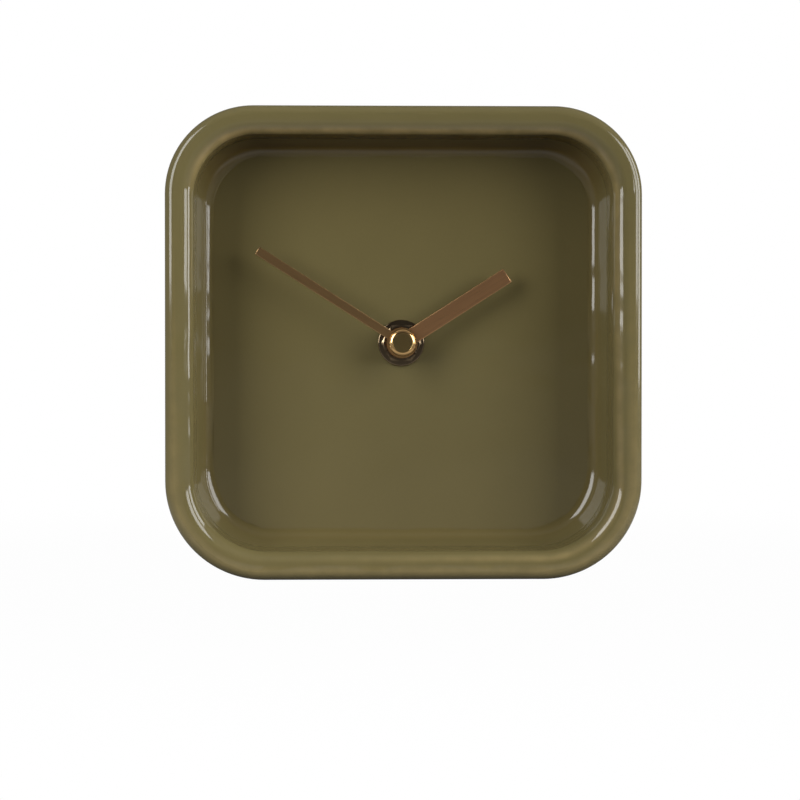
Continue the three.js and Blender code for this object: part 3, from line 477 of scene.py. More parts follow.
@dataclass(frozen=True)
class Moulded(Finish):
    """Moulded plastic or rubber with a fine eroded grain."""

    grain: float = 0.25
    cloud_size: float = 8.0
    swing: float = 0.10

    def detail(self, shader: Shader) -> None:
        """Grain, with a faint cloud in colour and gloss.

        Args:
            shader: The finish's tree.
        """
        grain = shader.noise(self.grain, 3.0)
        cloud = shader.noise(self.cloud_size)
        gloss = self.roughness - self.swing / 2 + self.swing * cloud
        self.skin(shader, self.tinted(shader, 0.4 * grain + 0.6 * cloud), gloss, grain)


@dataclass(frozen=True)
class Plated(Finish):
    """Sheet or bar metal, rolled and plated."""

    tints: Pair = (0.84, 1.08)
    mark_size: float = 0.12
    stretch: float = 0.06
    cloud_size: float = 3.0
    depth: float = 0.0015

    def detail(self, shader: Shader) -> None:
        """Faint rolling marks and a cloud over the gloss.

        Args:
            shader: The finish's tree.
        """
        marks = shader.noise(self.mark_size, 2.0, shader.mapped((1.0, 1.0, self.stretch)))
        cloud = shader.noise(self.cloud_size, 3.0)
        colour = self.tinted(shader, 0.5 * marks + 0.5 * cloud)
        self.skin(shader, colour, self.roughness + 0.10 * cloud, marks)


@dataclass(frozen=True)
class Wound(Finish):
    """Fine enamelled wire, wound round a bobbin along X."""

    tints: Pair = (0.45, 1.15)
    wire: float = 0.12
    depth: float = 0.03

    def detail(self, shader: Shader) -> None:
        """One line for each turn of the wire, darker between the turns as painted shade.

        Args:
            shader: The finish's tree.
        """
        settings = {"bands_direction": "X", "wave_profile": "SIN"}
        inputs = {"Scale": WAVE_LENGTH / (self.wire * MM), "Vector": shader.place()}
        # the wave's troughs darken the colour between the turns: painted shade in the grooves
        turns = shader.node("ShaderNodeTexWave", settings, inputs)
        gloss = self.roughness + 0.1 * shader.noise(2.0)
        self.skin(shader, self.tinted(shader, turns), gloss, turns)


@dataclass(frozen=True)
class Sleeve(Finish):
    """Shrunk sleeve of the cell, with a pale band at the positive end and steel at both ends."""

    tints: Pair = (0.9, 1.1)
    band_colour: Rgb = (0.48, 0.50, 0.52)
    steel: Rgb = (0.62, 0.62, 0.60)
    band_end: float = -15.5
    band_blur: float = 0.05
    steel_left: float = -24.2
    steel_right: float = 24.35
    steel_blur: float = 0.03
    depth: float = 0.012

    def detail(self, shader: Shader) -> None:
        """Bands along the cell, in colour, gloss and metal.

        Args:
            shader: The finish's tree.
        """
        along = shader.axes()[0] * (1.0 / MM)
        band = 1.0 - along.past(self.band_end, self.band_blur)
        left = 1.0 - along.past(self.steel_left, self.steel_blur)
        bare = left + along.past(self.steel_right, self.steel_blur)
        cloud = shader.noise(6.0, 3.0)
        coloured = shader.blend(band, self.tinted(shader, cloud), self.band_colour)
        colour = shader.blend(bare, coloured, self.steel)
        shader.drive("Metallic", bare)
        self.skin(shader, colour, self.roughness + 0.06 * cloud, shader.noise(2.5))


OLIVE_GLAZE = Glaze("olive_glaze", (0.123, 0.102, 0.042), 0.055)
# one rose gold in two copies: the minute hand's is darker as painted shade, the hour hand's lighter
# as painted light
MINUTE_GOLD_SHADED = Brushed("rose_gold_minute_shaded", (0.513, 0.312, 0.139), 0.30, 1.0, turn=MINUTE_TURN)
HOUR_GOLD_LIT = Brushed("rose_gold_hour_lit", (0.700, 0.380, 0.177), 0.30, 1.0, turn=HOUR_TURN)
POLISHED_BRASS = Turned("polished_brass", (0.800, 0.500, 0.210), 0.13, 1.0, core_radius=CAP_CORE)
TURNED_BRASS = Turned("turned_brass", (0.640, 0.450, 0.190), 0.28, 1.0)
BLACK_NICKEL = Turned("black_nickel", (0.280, 0.205, 0.125), 0.12, 1.0)
NICKEL_STEEL = Plated("nickel_steel", (0.560, 0.550, 0.520), 0.24, 1.0)
ELECTRIC_STEEL = Plated("electric_steel", (0.300, 0.305, 0.315), 0.36, 1.0)
DARK_MAGNET = Moulded("dark_magnet", (0.045, 0.045, 0.048), 0.45, 0.6, grain=0.15, depth=0.004)
BLACK_PLASTIC = Moulded("black_plastic", (0.016, 0.016, 0.017), 0.42)
KNOB_PLASTIC = Moulded("knob_plastic", (0.020, 0.020, 0.021), 0.36, grain=0.2, depth=0.006)
WHITE_ACETAL = Moulded("white_acetal", (0.760, 0.740, 0.680), 0.38, grain=0.4, depth=0.003)
BOBBIN_PLASTIC = Moulded("bobbin_plastic", (0.640, 0.580, 0.430), 0.45, grain=0.4, depth=0.003)
SOFT_RUBBER = Moulded("soft_rubber", (0.014, 0.014, 0.014), 0.75, grain=0.3, depth=0.012)
COPPER_WIRE = Wound("copper_wire", (0.560, 0.180, 0.060), 0.30, 1.0)
BOARD_GREEN = Moulded("board_green", (0.028, 0.110, 0.038), 0.35, grain=0.6, depth=0.004)
BLACK_RESIN = Moulded("black_resin", (0.010, 0.010, 0.011), 0.25, grain=1.2, depth=0.010)
CELL_JACKET = Sleeve("cell_jacket", (0.030, 0.050, 0.085), 0.26)


class Workpiece:
    """One mesh on the bench: a primitive that edit-mode operators and modifiers shape."""

    WELD = 0.001  # gap that is merged in a new mesh
    COPY_WELD = 0.002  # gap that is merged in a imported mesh
    FLAT_ANGLE = 0.5  # degrees within which packed triangles are one flat

    def __init__(self, obj: bpy.types.Object, name: str) -> None:
        """Names an object, settles its place into its mesh and opens it for editing.

        Args:
            obj: The object, the only one selected.
            name: The piece's name.
        """
        obj.name = name
        obj.data.name = name
        self.obj = obj
        bpy.context.view_layer.objects.active = obj
        bpy.ops.object.transform_apply(location=True, rotation=True, scale=True)
        bpy.ops.object.mode_set(mode="EDIT")
        bpy.ops.mesh.select_all(action="SELECT")

    @classmethod
    def start(cls, name: str, add: Callable[..., set[str]], **options: object) -> "Workpiece":
        """Adds a primitive with nothing else selected.

        Args:
            name: The piece's name.
            add: The operator that adds it.
            options: The operator's options.

        Returns:
            The piece, open for editing.
        """
        cls.clear_bench()
        add(**options)
        return cls(bpy.context.object, name)

    @staticmethod
    def clear_bench() -> None:
        """Leaves edit mode and lets go of everything."""
        if bpy.context.mode != "OBJECT":
            bpy.ops.object.mode_set(mode="OBJECT")
        bpy.ops.object.select_all(action="DESELECT")

    @classmethod
    def copied(cls, node: str, name: str) -> "Workpiece":
        """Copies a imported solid, joins its loose triangles and clears the edges inside its flats.

        Args:
            node: The solid's name.
            name: The copy's name.

        Returns:
            The copy, open for editing.
        """
        cls.clear_bench()
        obj = bpy.data.objects.new(name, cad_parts[node].data.copy())
        bpy.context.scene.collection.objects.link(obj)
        obj.select_set(True)
        piece = cls(obj, name)
        bpy.ops.mesh.customdata_custom_splitnormals_clear()
        bpy.ops.mesh.remove_doubles(threshold=cls.COPY_WELD * MM)
        bpy.ops.mesh.dissolve_limited(angle_limit=math.radians(cls.FLAT_ANGLE))
        return piece

    @classmethod
    def turned(
        cls, name: str, profile: Profile, steps: int = 96, centre: Pair = HANDS_AXIS
    ) -> "Workpiece":
        """Draws a profile point by point and spins it about an axis along Y.

        Args:
            name: The piece's name.
            profile: Points of (radius, depth) in millimetres.
            steps: Facets round the axis.
            centre: The axis, as x and z in millimetres.

        Returns:
            The turned piece, open for editing.
        """
        piece = cls.start(name, bpy.ops.mesh.primitive_plane_add, size=MM)
        bpy.ops.mesh.select_mode(type="VERT")
        bpy.ops.mesh.merge(type="CENTER")
        x, z = centre
        piece.move(x + profile[0][0], profile[0][1], z)
        for (radius, y), (next_radius, next_y) in pairwise(profile):
            step = Vector((next_radius - radius, next_y - y, 0.0)) * MM
            bpy.ops.mesh.extrude_vertices_move(TRANSFORM_OT_translate={"value": step})
        bpy.ops.mesh.select_all(action="SELECT")
        pivot = (x * MM, 0.0, z * MM)
        bpy.ops.mesh.spin(steps=steps, angle=math.tau, center=pivot, axis=(0.0, 1.0, 0.0))
        piece.close()
        return piece

    def move(self, x: float, y: float, z: float) -> None:
        """Moves what is held, by millimetres."""
        bpy.ops.transform.translate(value=(x * MM, y * MM, z * MM))

    def stretch(self, x: float, y: float, z: float) -> None:
        """Makes what is held larger about the origin, by factors along the axes."""
        bpy.ops.transform.resize(value=(x, y, z), center_override=(0.0, 0.0, 0.0))

    def close(self) -> None:
        """Merges doubled points and turns every face outwards."""
        bpy.ops.mesh.select_all(action="SELECT")
        bpy.ops.mesh.remove_doubles(threshold=self.WELD * MM)
        bpy.ops.mesh.normals_make_consistent(inside=False)

    def hold(self, kind: Hold, test: Callable[[Vector], bool]) -> None:
        """Selects the points, edges or faces that lie wholly in a place.

        Args:
            kind: What to hold.
            test: Says whether a point, in millimetres, lies in the place.
        """
        bpy.ops.mesh.select_mode(type=kind.value)
        bpy.ops.mesh.select_all(action="DESELECT")
        mesh = bmesh.from_edit_mesh(self.obj.data)
        items = {Hold.VERTS: mesh.verts, Hold.EDGES: mesh.edges, Hold.FACES: mesh.faces}[kind]
        for item in items:
            points = [item] if kind is Hold.VERTS else item.verts
            if all(test(point.co / MM) for point in points):
                item.select_set(True)
        bmesh.update_edit_mesh(self.obj.data)

    def step_in(self, section: Profile) -> None:
        """Follows a wall section from the held face, one inset for each step.

        Args:
            section: Points of (inset, height along the face's normal) in millimetres.
        """
        for (inset, height), (next_inset, next_height) in pairwise(section):
            bpy.ops.mesh.inset(
                thickness=(next_inset - inset) * MM,
                depth=(next_height - height) * MM,
                use_even_offset=True,
            )

    def leave(self) -> None:
        """Goes back to object mode."""
        bpy.ops.object.mode_set(mode="OBJECT")

    def pick(self) -> None:
        """Goes back to object mode and selects this piece alone."""
        self.leave()
        bpy.ops.object.select_all(action="DESELECT")
        self.obj.select_set(True)
        bpy.context.view_layer.objects.active = self.obj

    def apply(self, kind: str, **settings: object) -> None:
        """Adds a modifier and applies it.

        Args:
            kind: The modifier's type.
            settings: Its settings.
        """
        self.leave()
        bpy.context.view_layer.objects.active = self.obj
        modifier = self.obj.modifiers.new(kind, kind)
        for key, value in settings.items():
            setattr(modifier, key, value)
        bpy.ops.object.modifier_apply(modifier=modifier.name)

    def combine(self, tool: "Workpiece", join: Join) -> None:
        """Joins, cuts or trims this piece with another, which is used up.

        Args:
            tool: The other piece.
            join: What it does to this one.
        """
        tool.leave()
        self.apply("BOOLEAN", operation=join.value, object=tool.obj, solver="EXACT")
        bpy.data.objects.remove(tool.obj)

    def ease(self, width: float, segments: int = 2, angle: float = 35.0) -> None:
        """Rounds the sharp edges.

        Args:
            width: Width of the rounding, in millimetres.
            segments: Its facets.
            angle: Least angle of an edge that is rounded, in degrees.
        """
        self.apply(
            "BEVEL",
            width=width * MM,
            segments=segments,
            limit_method="ANGLE",
            angle_limit=math.radians(angle),
            miter_outer="MITER_ARC",
            use_clamp_overlap=True,
        )

    def smooth(self, angle: float = 40.0) -> None:
        """Shades smooth by the size of the faces, but not across sharp edges.

        Args:
            angle: Least angle of an edge that stays sharp, in degrees.
        """
        self.pick()
        bpy.ops.object.shade_smooth_by_angle(angle=math.radians(angle))
        self.apply("WEIGHTED_NORMAL", keep_sharp=True)

    def place(self, turn: float, y: float, z: float) -> None:
        """Turns the piece about Y, clockwise on the dial, and moves it.

        Args:
            turn: Degrees.
            y: Millimetres to the back.
            z: Millimetres up.
        """
        self.pick()
        self.obj.rotation_euler = (0.0, math.radians(turn), 0.0)
        self.obj.location = (0.0, y * MM, z * MM)
        bpy.ops.object.transform_apply(location=True, rotation=True, scale=True)

    def fit(self, finish: Finish, slot: str, body: Body, node: str) -> None:
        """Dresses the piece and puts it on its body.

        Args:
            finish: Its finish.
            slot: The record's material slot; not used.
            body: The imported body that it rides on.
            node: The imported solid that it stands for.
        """
        self.leave()
        self.obj.data.materials.clear()
        self.obj.data.materials.append(finish.material())
        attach(self.obj, body.value)
        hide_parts(node)
        log.info("%s: %d faces", self.obj.name, len(self.obj.data.polygons))


@dataclass(frozen=True)
class GlazeMarks:
    """How the fired glaze thins along the lip and pools in the recess, and where painted light and
    shade go: light on the inner roll of the top lip, shade on faces turned down under it.

    Each of the first three pairs says, in millimetres from the hands' axis, where a mark starts and
    where it reaches its full strength. Insets and widths are in millimetres too.
    """

    # The next two pairs and the crest's top share paint light on the top lip's inner roll, which
    # turns down into shade
    painted_light_towards_top: Pair = (40.0, 58.0)
    painted_light_towards_left: Pair = (54.0, 30.0)
    towards_foot: Pair = (0.0, -45.0)
    crest_base: float = 0.14
    crest_lean: float = 0.0025
    painted_light_on_crest: float = 0.80
    crest_wander: float = 0.012
    crest_width: float = 0.95
    edge_inset: float = 2.4
    edge_width: float = 1.7
    edge_share: float = 0.24
    pool_width: float = 2.4
    pool_share: float = 0.35
    # painted shade on faces turned down under the top lip
    painted_under_shade_share: float = 0.9

    def thin_and_lit_ridge(self, x: float, up: float, inset: float, crest: float) -> float:
        """How thin the glaze is at a point of the lip, with painted light added on the inner roll of
        the top lip, where it turns down into shade.

        Args:
            x: Millimetres to the right of the hands' axis.
            up: Millimetres above it.
            inset: Millimetres in from the outline.
            crest: Inset of the lip's inner ridge.

        Returns:
            The share, from 0 to 1.
        """
        # painted light: the ridge is raised on the top lip's inner roll, more towards the top and the
        # left
        high = ramp(up, *self.painted_light_towards_top) * ramp(x, *self.painted_light_towards_left)
        run = max(0.0, self.crest_base + self.crest_lean * x + self.painted_light_on_crest * high)
        inner = min(1.0, run) * bell(inset - crest, self.crest_wander * up, self.crest_width)
        low = ramp(up, *self.towards_foot)
        outer = self.edge_share * low * bell(inset, self.edge_inset, self.edge_width)
        return max(inner, outer)

    def pool(self, inset: float, hollow: float, rise: float) -> float:
        """How deep the glaze is at a point of the recess, plus painted shade on faces turned down
        under the top lip.

        Args:
            inset: Millimetres in from the outline.
            hollow: Inset of the fillet's middle.
            rise: How far the surface faces up, from -1 to 1; faces turned down get painted shade.

        Returns:
            The share, from 0 to 1.
        """
        in_hollow = self.pool_share * bell(inset, hollow, self.pool_width)
        return min(1.0, in_hollow + self.painted_under_shade_share * max(0.0, -rise))


@dataclass
class CeramicBlock:
    """Glazed block: thick rounded lip, deep dial with a filleted foot, and an open back."""

    width: float = 135.0
    height: float = 134.0
    depth: float = 50.0
    top_radius: float = 25.0
    bottom_radius: float = 28.0
    lip_width: float = 8.1
    lip_outer: float = 2.6
    lip_inner: float = 4.0
    recess: float = 22.0
    draft: float = 2.0
    fillet: float = 3.3
    flare: float = 22.5
    flare_length: float = 4.3
    flare_bend: float = 2.0
    corner_gain: float = 3.5
    corner_from: float = 7.0
    corner_to: float = 12.0
    corner_spare: float = 0.5
    dial_thickness: float = 5.0
    back_wall: float = 5.5
    back_draft: float = 0.8
    back_fillet: float = 4.0
    back_edge: float = 1.5
    back_inner_edge: float = 0.8
    hole_radius: float = 4.6
    flat_step: float = 0.6
    corner_steps: int = 28
    lip_steps: int = 12
    bend_steps: int = 4
    edge_steps: int = 5
    fillet_steps: int = 8
    hole_steps: int = 64
    marks: GlazeMarks = GlazeMarks()

    def build(self) -> None:
        """Models the block, marks where its glaze thins and pools and where painted light and shade
        go, and dresses it.
        """
        add = bpy.ops.mesh.primitive_plane_add
        piece = Workpiece.start("glazed_block", add, size=1.0, rotation=FACING_FRONT)
        piece.stretch(self.width * MM, 1.0, self.height * MM)
        piece.move(0.0, self.lip_outer - self.depth / 2, AXIS_HEIGHT)
        self.round_corners(piece)
        self.shape_front(piece)
        self.shape_back(piece)
        self.bore_dial(piece)
        self.mark_glaze(piece.obj)
        self.round_recess(piece.obj)
        piece.smooth()
        piece.fit(OLIVE_GLAZE, "olive_glaze", Body.CLOCK, "ceramic_body")

    def round_corners(self, piece: Workpiece) -> None:
        """Rounds the outline, with the larger radius at the foot.

        Args:
            piece: The flat face of the block.
        """
        for radius, sign in ((self.top_radius, 1.0), (self.bottom_radius, -1.0)):
            piece.hold(Hold.VERTS, lambda p, sign=sign: (p.z - AXIS_HEIGHT) * sign > 0.0)
            bpy.ops.mesh.bevel(offset=radius * MM, segments=self.corner_steps, affect="VERTICES")

    def shape_front(self, piece: Workpiece) -> None:
        """Steps in over the lip, down the recess, out along its flared foot and round to the dial.

        Args:
            piece: The block's rounded outline, as one face.
        """
        lip = (self.lip_width - self.lip_inner, self.lip_outer - self.lip_inner)
        foot = (self.hollow_inset(), self.lip_outer - self.recess + self.fillet)
        fillet = arc(foot, self.fillet, 180.0 + self.flare, 270.0, self.lip_steps)
        lean = math.radians(self.flare)
        bend = (
            fillet[0][0] - self.flare_length * math.sin(lean) + self.flare_bend * math.cos(lean),
            fillet[0][1] + self.flare_length * math.cos(lean) + self.flare_bend * math.sin(lean),
        )
        across, down = bend[0] - lip[0], lip[1] - bend[1]
        tangent = math.asin((self.lip_inner + self.flare_bend) / math.hypot(across, down))
        slope = math.degrees(math.atan2(across, down) - tangent)
        section = [
            *arc((self.lip_outer, 0.0), self.lip_outer, 180.0, 90.0, self.lip_steps),
            *arc(lip, self.lip_inner, 90.0, slope, self.lip_steps),
            *arc(bend, self.flare_bend, 180.0 + slope, 180.0 + self.flare, self.bend_steps),
            *fillet,
            (fillet[-1][0] + self.flat_step, fillet[-1][1]),
        ]
        piece.hold(Hold.FACES, lambda p: True)
        piece.step_in(section)

    def shape_back(self, piece: Workpiece) -> None:
        """Draws the sides back, rounds the rim and hollows the back down to the dial.

        Args:
            piece: The block's front.
        """
        start = self.lip_outer - self.depth / 2
        rim = self.depth / 2 - self.back_edge
        piece.hold(Hold.EDGES, lambda p: abs(p.y - start) < NEAR)
        back = (0.0, (rim - start) * MM, 0.0)
        bpy.ops.mesh.extrude_region_move(TRANSFORM_OT_translate={"value": back})
        bpy.ops.mesh.edge_face_add()
        piece.close()
        piece.hold(Hold.FACES, lambda p: abs(p.y - rim) < NEAR)
        edge = self.back_inner_edge
        inner = (self.back_wall - self.back_draft - edge, self.back_edge - edge)
        foot = (
            self.back_wall + self.back_draft + self.back_fillet,
            self.dial_back() + self.back_fillet - rim,
        )
        section = [
            *arc((self.back_edge, 0.0), self.back_edge, 180.0, 90.0, self.edge_steps),
            *arc(inner, edge, 90.0, 0.0, self.bend_steps),
            *arc(foot, self.back_fillet, 180.0, 270.0, self.fillet_steps),
        ]
        piece.step_in([*section, (section[-1][0] + self.flat_step, section[-1][1])])

    def bore_dial(self, piece: Workpiece) -> None:
        """Cuts the hands' hole through the dial.

        Args:
            piece: The block.
        """
        drill = Workpiece.start(
            "drill",
            bpy.ops.mesh.primitive_cylinder_add,
            vertices=self.hole_steps,
            radius=self.hole_radius * MM,
            depth=2.0 * self.recess * MM,
            location=(0.0, 0.0, AXIS_HEIGHT * MM),
            rotation=FACING_FRONT,
        )
        piece.leave()
        piece.combine(drill, Join.CUT)

    def hollow_inset(self) -> float:
        """Inset at which the fillet meets the dial."""
        return self.lip_width + self.draft + self.fillet

    def dial_back(self) -> float:
        """Depth of the dial's rear face."""
        return self.recess - self.depth / 2 + self.dial_thickness

    def corner_of(self, x: float, up: float) -> tuple[float, float, float]:
        """Place of a point against the nearest corner of the outline.

        Args:
            x: Millimetres to the right of the hands' axis.
            up: Millimetres above it.

        Returns:
            The corner's radius, and how far the point is past its centre, outwards along x and z.
        """
        radius = self.top_radius if up > 0.0 else self.bottom_radius
        return radius, abs(x) - self.width / 2 + radius, abs(up) - self.height / 2 + radius

    def inset_of(self, x: float, up: float) -> float:
        """Distance of a point in from the block's outline.

        Args:
            x: Millimetres to the right of the hands' axis.
            up: Millimetres above it.

        Returns:
            The inset in millimetres.
        """
        radius, across, rise = self.corner_of(x, up)
        return radius - math.hypot(max(across, 0.0), max(rise, 0.0)) - min(max(across, rise), 0.0)

    def mark_glaze(self, obj: bpy.types.Object) -> None:
        """Keeps on each point how much the glaze thins, pools or waves there, with the painted light
        on the top lip and the painted shade under it.

        Args:
            obj: The block, with its recess still as round as its outline.
        """
        crest = self.lip_width - self.lip_inner * 0.35
        hollow = self.hollow_inset() - self.fillet * 0.5
        front = self.lip_outer + self.lip_inner - self.depth / 2
        thin_and_lit_ridges, pools_and_shade, rims = [], [], []
        for vertex in obj.data.vertices:
            x, y, z = vertex.co / MM
            up = z - AXIS_HEIGHT
            inset = self.inset_of(x, up)
            thin_and_lit_ridges.append(self.marks.thin_and_lit_ridge(x, up, inset, crest) if y < front else 0.0)
            in_recess = self.lip_outer < inset < self.hollow_inset() + 1.0
            seen = in_recess and front < y < self.dial_back()
            # the pool values also carry painted shade on faces turned down
            pools_and_shade.append(self.marks.pool(inset, hollow, vertex.normal.z) if seen else 0.0)
            rims.append(1.0 if self.lip_outer < inset < self.hollow_inset() - 0.1 else 0.0)
        for name, values in (("thin_and_lit_ridge", thin_and_lit_ridges), ("pool", pools_and_shade), ("rim", rims)):
            layer = obj.data.attributes.new(name, "FLOAT", "POINT")
            layer.data.foreach_set("value", values)

    def round_recess(self, obj: bpy.types.Object) -> None:
        """Gives the recess rounder corners than the outline, from the lip's crest inwards.

        Args:
            obj: The block.
        """
        dial = self.recess - self.depth / 2
        for vertex in obj.data.vertices:
            x, y, z = vertex.co / MM
            up = z - AXIS_HEIGHT
            _, across, rise = self.corner_of(x, up)
            if y > dial + NEAR or min(across, rise) < -self.corner_spare:
                continue
            share = ramp(self.inset_of(x, up), self.corner_from, self.corner_to)
            gain = self.corner_gain * share * MM
            angle = math.atan2(max(rise, 0.0), max(across, 0.0))
            vertex.co.x -= math.copysign(gain * (1.0 - math.cos(angle)), x)
            vertex.co.z -= math.copysign(gain * (1.0 - math.sin(angle)), up)


@dataclass(frozen=True)
class Hand:
    """One bar hand: its sizes, the angle it shows, the depth of its face and what it is made of."""

    name: str
    length: float
    width: float
    bore: float
    turn: float
    front: float
    gold: Finish
    body: Body
    node: str
    hub_radius: float = 4.4
    thickness: float = 0.4
    edge: float = 0.16

    def blade(self) -> Workpiece:
        """Bar with a round bored hub, pointing up from the origin, its front face at y = 0.

        Returns:
            The blade.
        """
        bar = Workpiece.start(self.name, bpy.ops.mesh.primitive_cube_add, size=1.0)
        bar.stretch(self.width * MM, self.thickness * MM, self.length * MM)
        bar.move(0.0, self.thickness / 2, self.length / 2)
        bar.ease(self.edge)
        rings = ring(self.bore, self.hub_radius, 0.0, self.thickness)
        hub = Workpiece.turned("hub", rings, centre=ORIGIN)
        core = [(0.0, -PAST), (self.bore, -PAST), (self.bore, PAST), (0.0, PAST)]
        drill = Workpiece.turned("drill", core, centre=ORIGIN)
        bar.combine(drill, Join.CUT)
        bar.combine(hub, Join.ADD)
        return bar

    def finish(self, piece: Workpiece) -> None:
        """Shades the hand flat between its edges, turns it to its angle and fits it.

        Args:
            piece: The blade.
        """
        piece.smooth(20.0)
        piece.place(self.turn, self.front, AXIS_HEIGHT)
        piece.fit(self.gold, "rose_gold", self.body, self.node)


MINUTE_HAND = Hand(
    name="minute_blade",
    length=49.2,
    width=2.5,
    bore=1.9,
    turn=MINUTE_TURN,
    front=-10.8,
    gold=MINUTE_GOLD_SHADED,
    body=Body.MINUTE,
    node="minute_hand",
)
HOUR_HAND = Hand(
    name="hour_blade",
    length=36.0,
    width=4.5,
    bore=2.8,
    turn=HOUR_TURN,
    front=-8.6,
    gold=HOUR_GOLD_LIT,
    body=Body.HOUR,
    node="hour_hand",
)


@dataclass
class Hands:
    """The two bar hands and the cap that holds them."""

    collet_radius: float = 3.4
    collet_front: float = 0.3
    collet_back: float = 1.5
    collet_steps: int = 64
    cap_steps: int = 128

    def build(self) -> None:
        """Makes both hands and the cap."""
        MINUTE_HAND.finish(MINUTE_HAND.blade())
        hour = HOUR_HAND.blade()
        rings = ring(HOUR_HAND.bore, self.collet_radius, self.collet_front, self.collet_back)
        collet = Workpiece.turned("collet", rings, self.collet_steps, ORIGIN)
        hour.combine(collet, Join.ADD)
        HOUR_HAND.finish(hour)
        self.cap()

    def cap(self) -> None:
        """Closed round nut: a flat disc, a dished ring and a rounded rim, bored from behind."""
        profile = [
            (0.0, -12.95),
            (CAP_CORE - 0.06, -12.95),
            (CAP_CORE, -12.99),
            (CAP_CORE, -13.24),
            (CAP_CORE + 0.04, -13.28),
            *arc((2.59, -11.77), 1.53, 281.0, 311.0, 10),
            *arc((3.45, -12.65), 0.45, 314.0, 360.0, 6),
            (3.90, -11.20),
            (3.80, -11.10),
            (1.90, -11.10),
            (1.90, -12.30),
            (0.0, -12.30),
        ]
        piece = Workpiece.turned("cap", profile, self.cap_steps)
        piece.smooth(30.0)
        piece.fit(POLISHED_BRASS, "polished_brass", Body.MINUTE, "hand_cap_nut")


@dataclass
class DialMount:
    """Nut, washer and threaded bushing that clamp the movement to the dial."""

    flats: float = 10.2
    nut_back: float = -3.8
    nut_height: float = 2.2
    chamfer: float = 0.5
    countersink: float = 0.25
    blank_spare: float = 0.05
    bore: float = 4.3
    edge: float = 0.32
    eased: float = 0.1
    washer_radius: float = 6.7
    washer_thickness: float = 0.8
    washer_steps: int = 128
    thread_pitch: float = 0.75
    thread_depth: float = 0.35
    thread_radius: float = 4.0
    thread_start: float = 0.3
    crest_start: float = 0.3
    crest_end: float = 0.42
    bushing_bore: float = 2.8
    bushing_front: float = -6.8
    flange_front: float = 2.3
    flange_back: float = 3.2
    flange_radius: float = 5.2
    tail_back: float = 4.4
    tail_radius: float = 3.6

    def build(self) -> None:
        """Makes the washer, the nut and the bushing."""
        self.washer()
        self.nut()
        self.bushing()

    def washer(self) -> None:
        """Flat washer with rounded rims."""
        front, back, edge = self.nut_back, self.nut_back + self.washer_thickness, self.edge
        rim = self.washer_radius - edge
        profile = [
            (self.bore, back),
            (self.bore, front + self.eased),
            (self.bore + self.eased, front),
            *arc((rim, front + edge), edge, 270.0, 360.0, 5),
            *arc((rim, back - edge), edge, 0.0, 90.0, 5),
            (self.bore, back),
        ]
        piece = Workpiece.turned("washer", profile, self.washer_steps)
        piece.smooth(30.0)
        piece.fit(BLACK_NICKEL, "black_nickel", Body.CLOCK, "front_washer")

    def nut(self) -> None:
        """Hexagon, trimmed to its chamfers and bored."""
        back = self.nut_back
        front = back - self.nut_height
        corner = self.flats / 2 / math.cos(math.pi / 6)
        piece = Workpiece.start(
            "hex_nut_black",
            bpy.ops.mesh.primitive_cylinder_add,
            vertices=6,
            radius=corner * MM,
            depth=self.nut_height * MM,
            location=(0.0, (front + back) / 2 * MM, AXIS_HEIGHT * MM),
            rotation=(math.pi / 2, math.pi / 6, 0.0),
        )
        blank = Workpiece.turned("blank", [
            (0.0, front),
            (self.flats / 2, front),
            (corner + self.blank_spare, front + self.chamfer),
            (corner + self.blank_spare, back - self.chamfer),
            (self.flats / 2, back),
            (0.0, back),
        ])
        piece.combine(blank, Join.TRIM)
        drill = Workpiece.turned("drill", [
            (0.0, front - PAST),
            (self.bore + PAST, front - PAST),
            (self.bore, front + self.countersink),
            (self.bore, back + PAST),
            (0.0, back + PAST),
        ])
        piece.combine(drill, Join.CUT)
        piece.ease(self.edge, 4, 20.0)
        piece.smooth(30.0)
        piece.fit(BLACK_NICKEL, "black_nickel", Body.CLOCK, "hex_nut")

    def bushing(self) -> None:
        """Bushing with its thread, which shows between the nut and the hour hand."""
        bore, front, shoulder = self.bushing_bore, self.bushing_front, self.flange_front
        turns = int((shoulder - front - 2.0 * self.thread_start) / self.thread_pitch)
        crest = self.thread_radius
        root = crest - self.thread_depth
        thread = []
        for i in range(turns):
            y = front + self.thread_start + i * self.thread_pitch
            thread += [(root, y), (crest, y + self.crest_start), (crest, y + self.crest_end)]
        profile = [
            (bore, front + self.eased),
            (bore + self.eased, front),
            (root - self.eased, front),
            *thread,
            (root, shoulder),
            (self.flange_radius, shoulder),
            (self.flange_radius, self.flange_back),
            (self.tail_radius, self.flange_back),
            (self.tail_radius, self.tail_back),
            (bore, self.tail_back),
            (bore, front + self.eased),
        ]
        piece = Workpiece.turned("bushing", profile)
        piece.smooth(25.0)
        piece.fit(TURNED_BRASS, "turned_brass", Body.CLOCK, "threaded_bushing")


@dataclass(frozen=True)
class Refined:
    """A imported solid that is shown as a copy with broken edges."""

    node: str
    name: str
    edge: float
    finish: Finish
    slot: str
    body: Body = Body.CLOCK
    segments: int = 2
    angle: float = 35.0

    def build(self) -> None:
        """Copies the solid, breaks its edges and dresses it."""
        piece = Workpiece.copied(self.node, self.name)
        piece.ease(self.edge, self.segments, self.angle)
        piece.smooth()
        piece.fit(self.finish, self.slot, self.body, self.node)


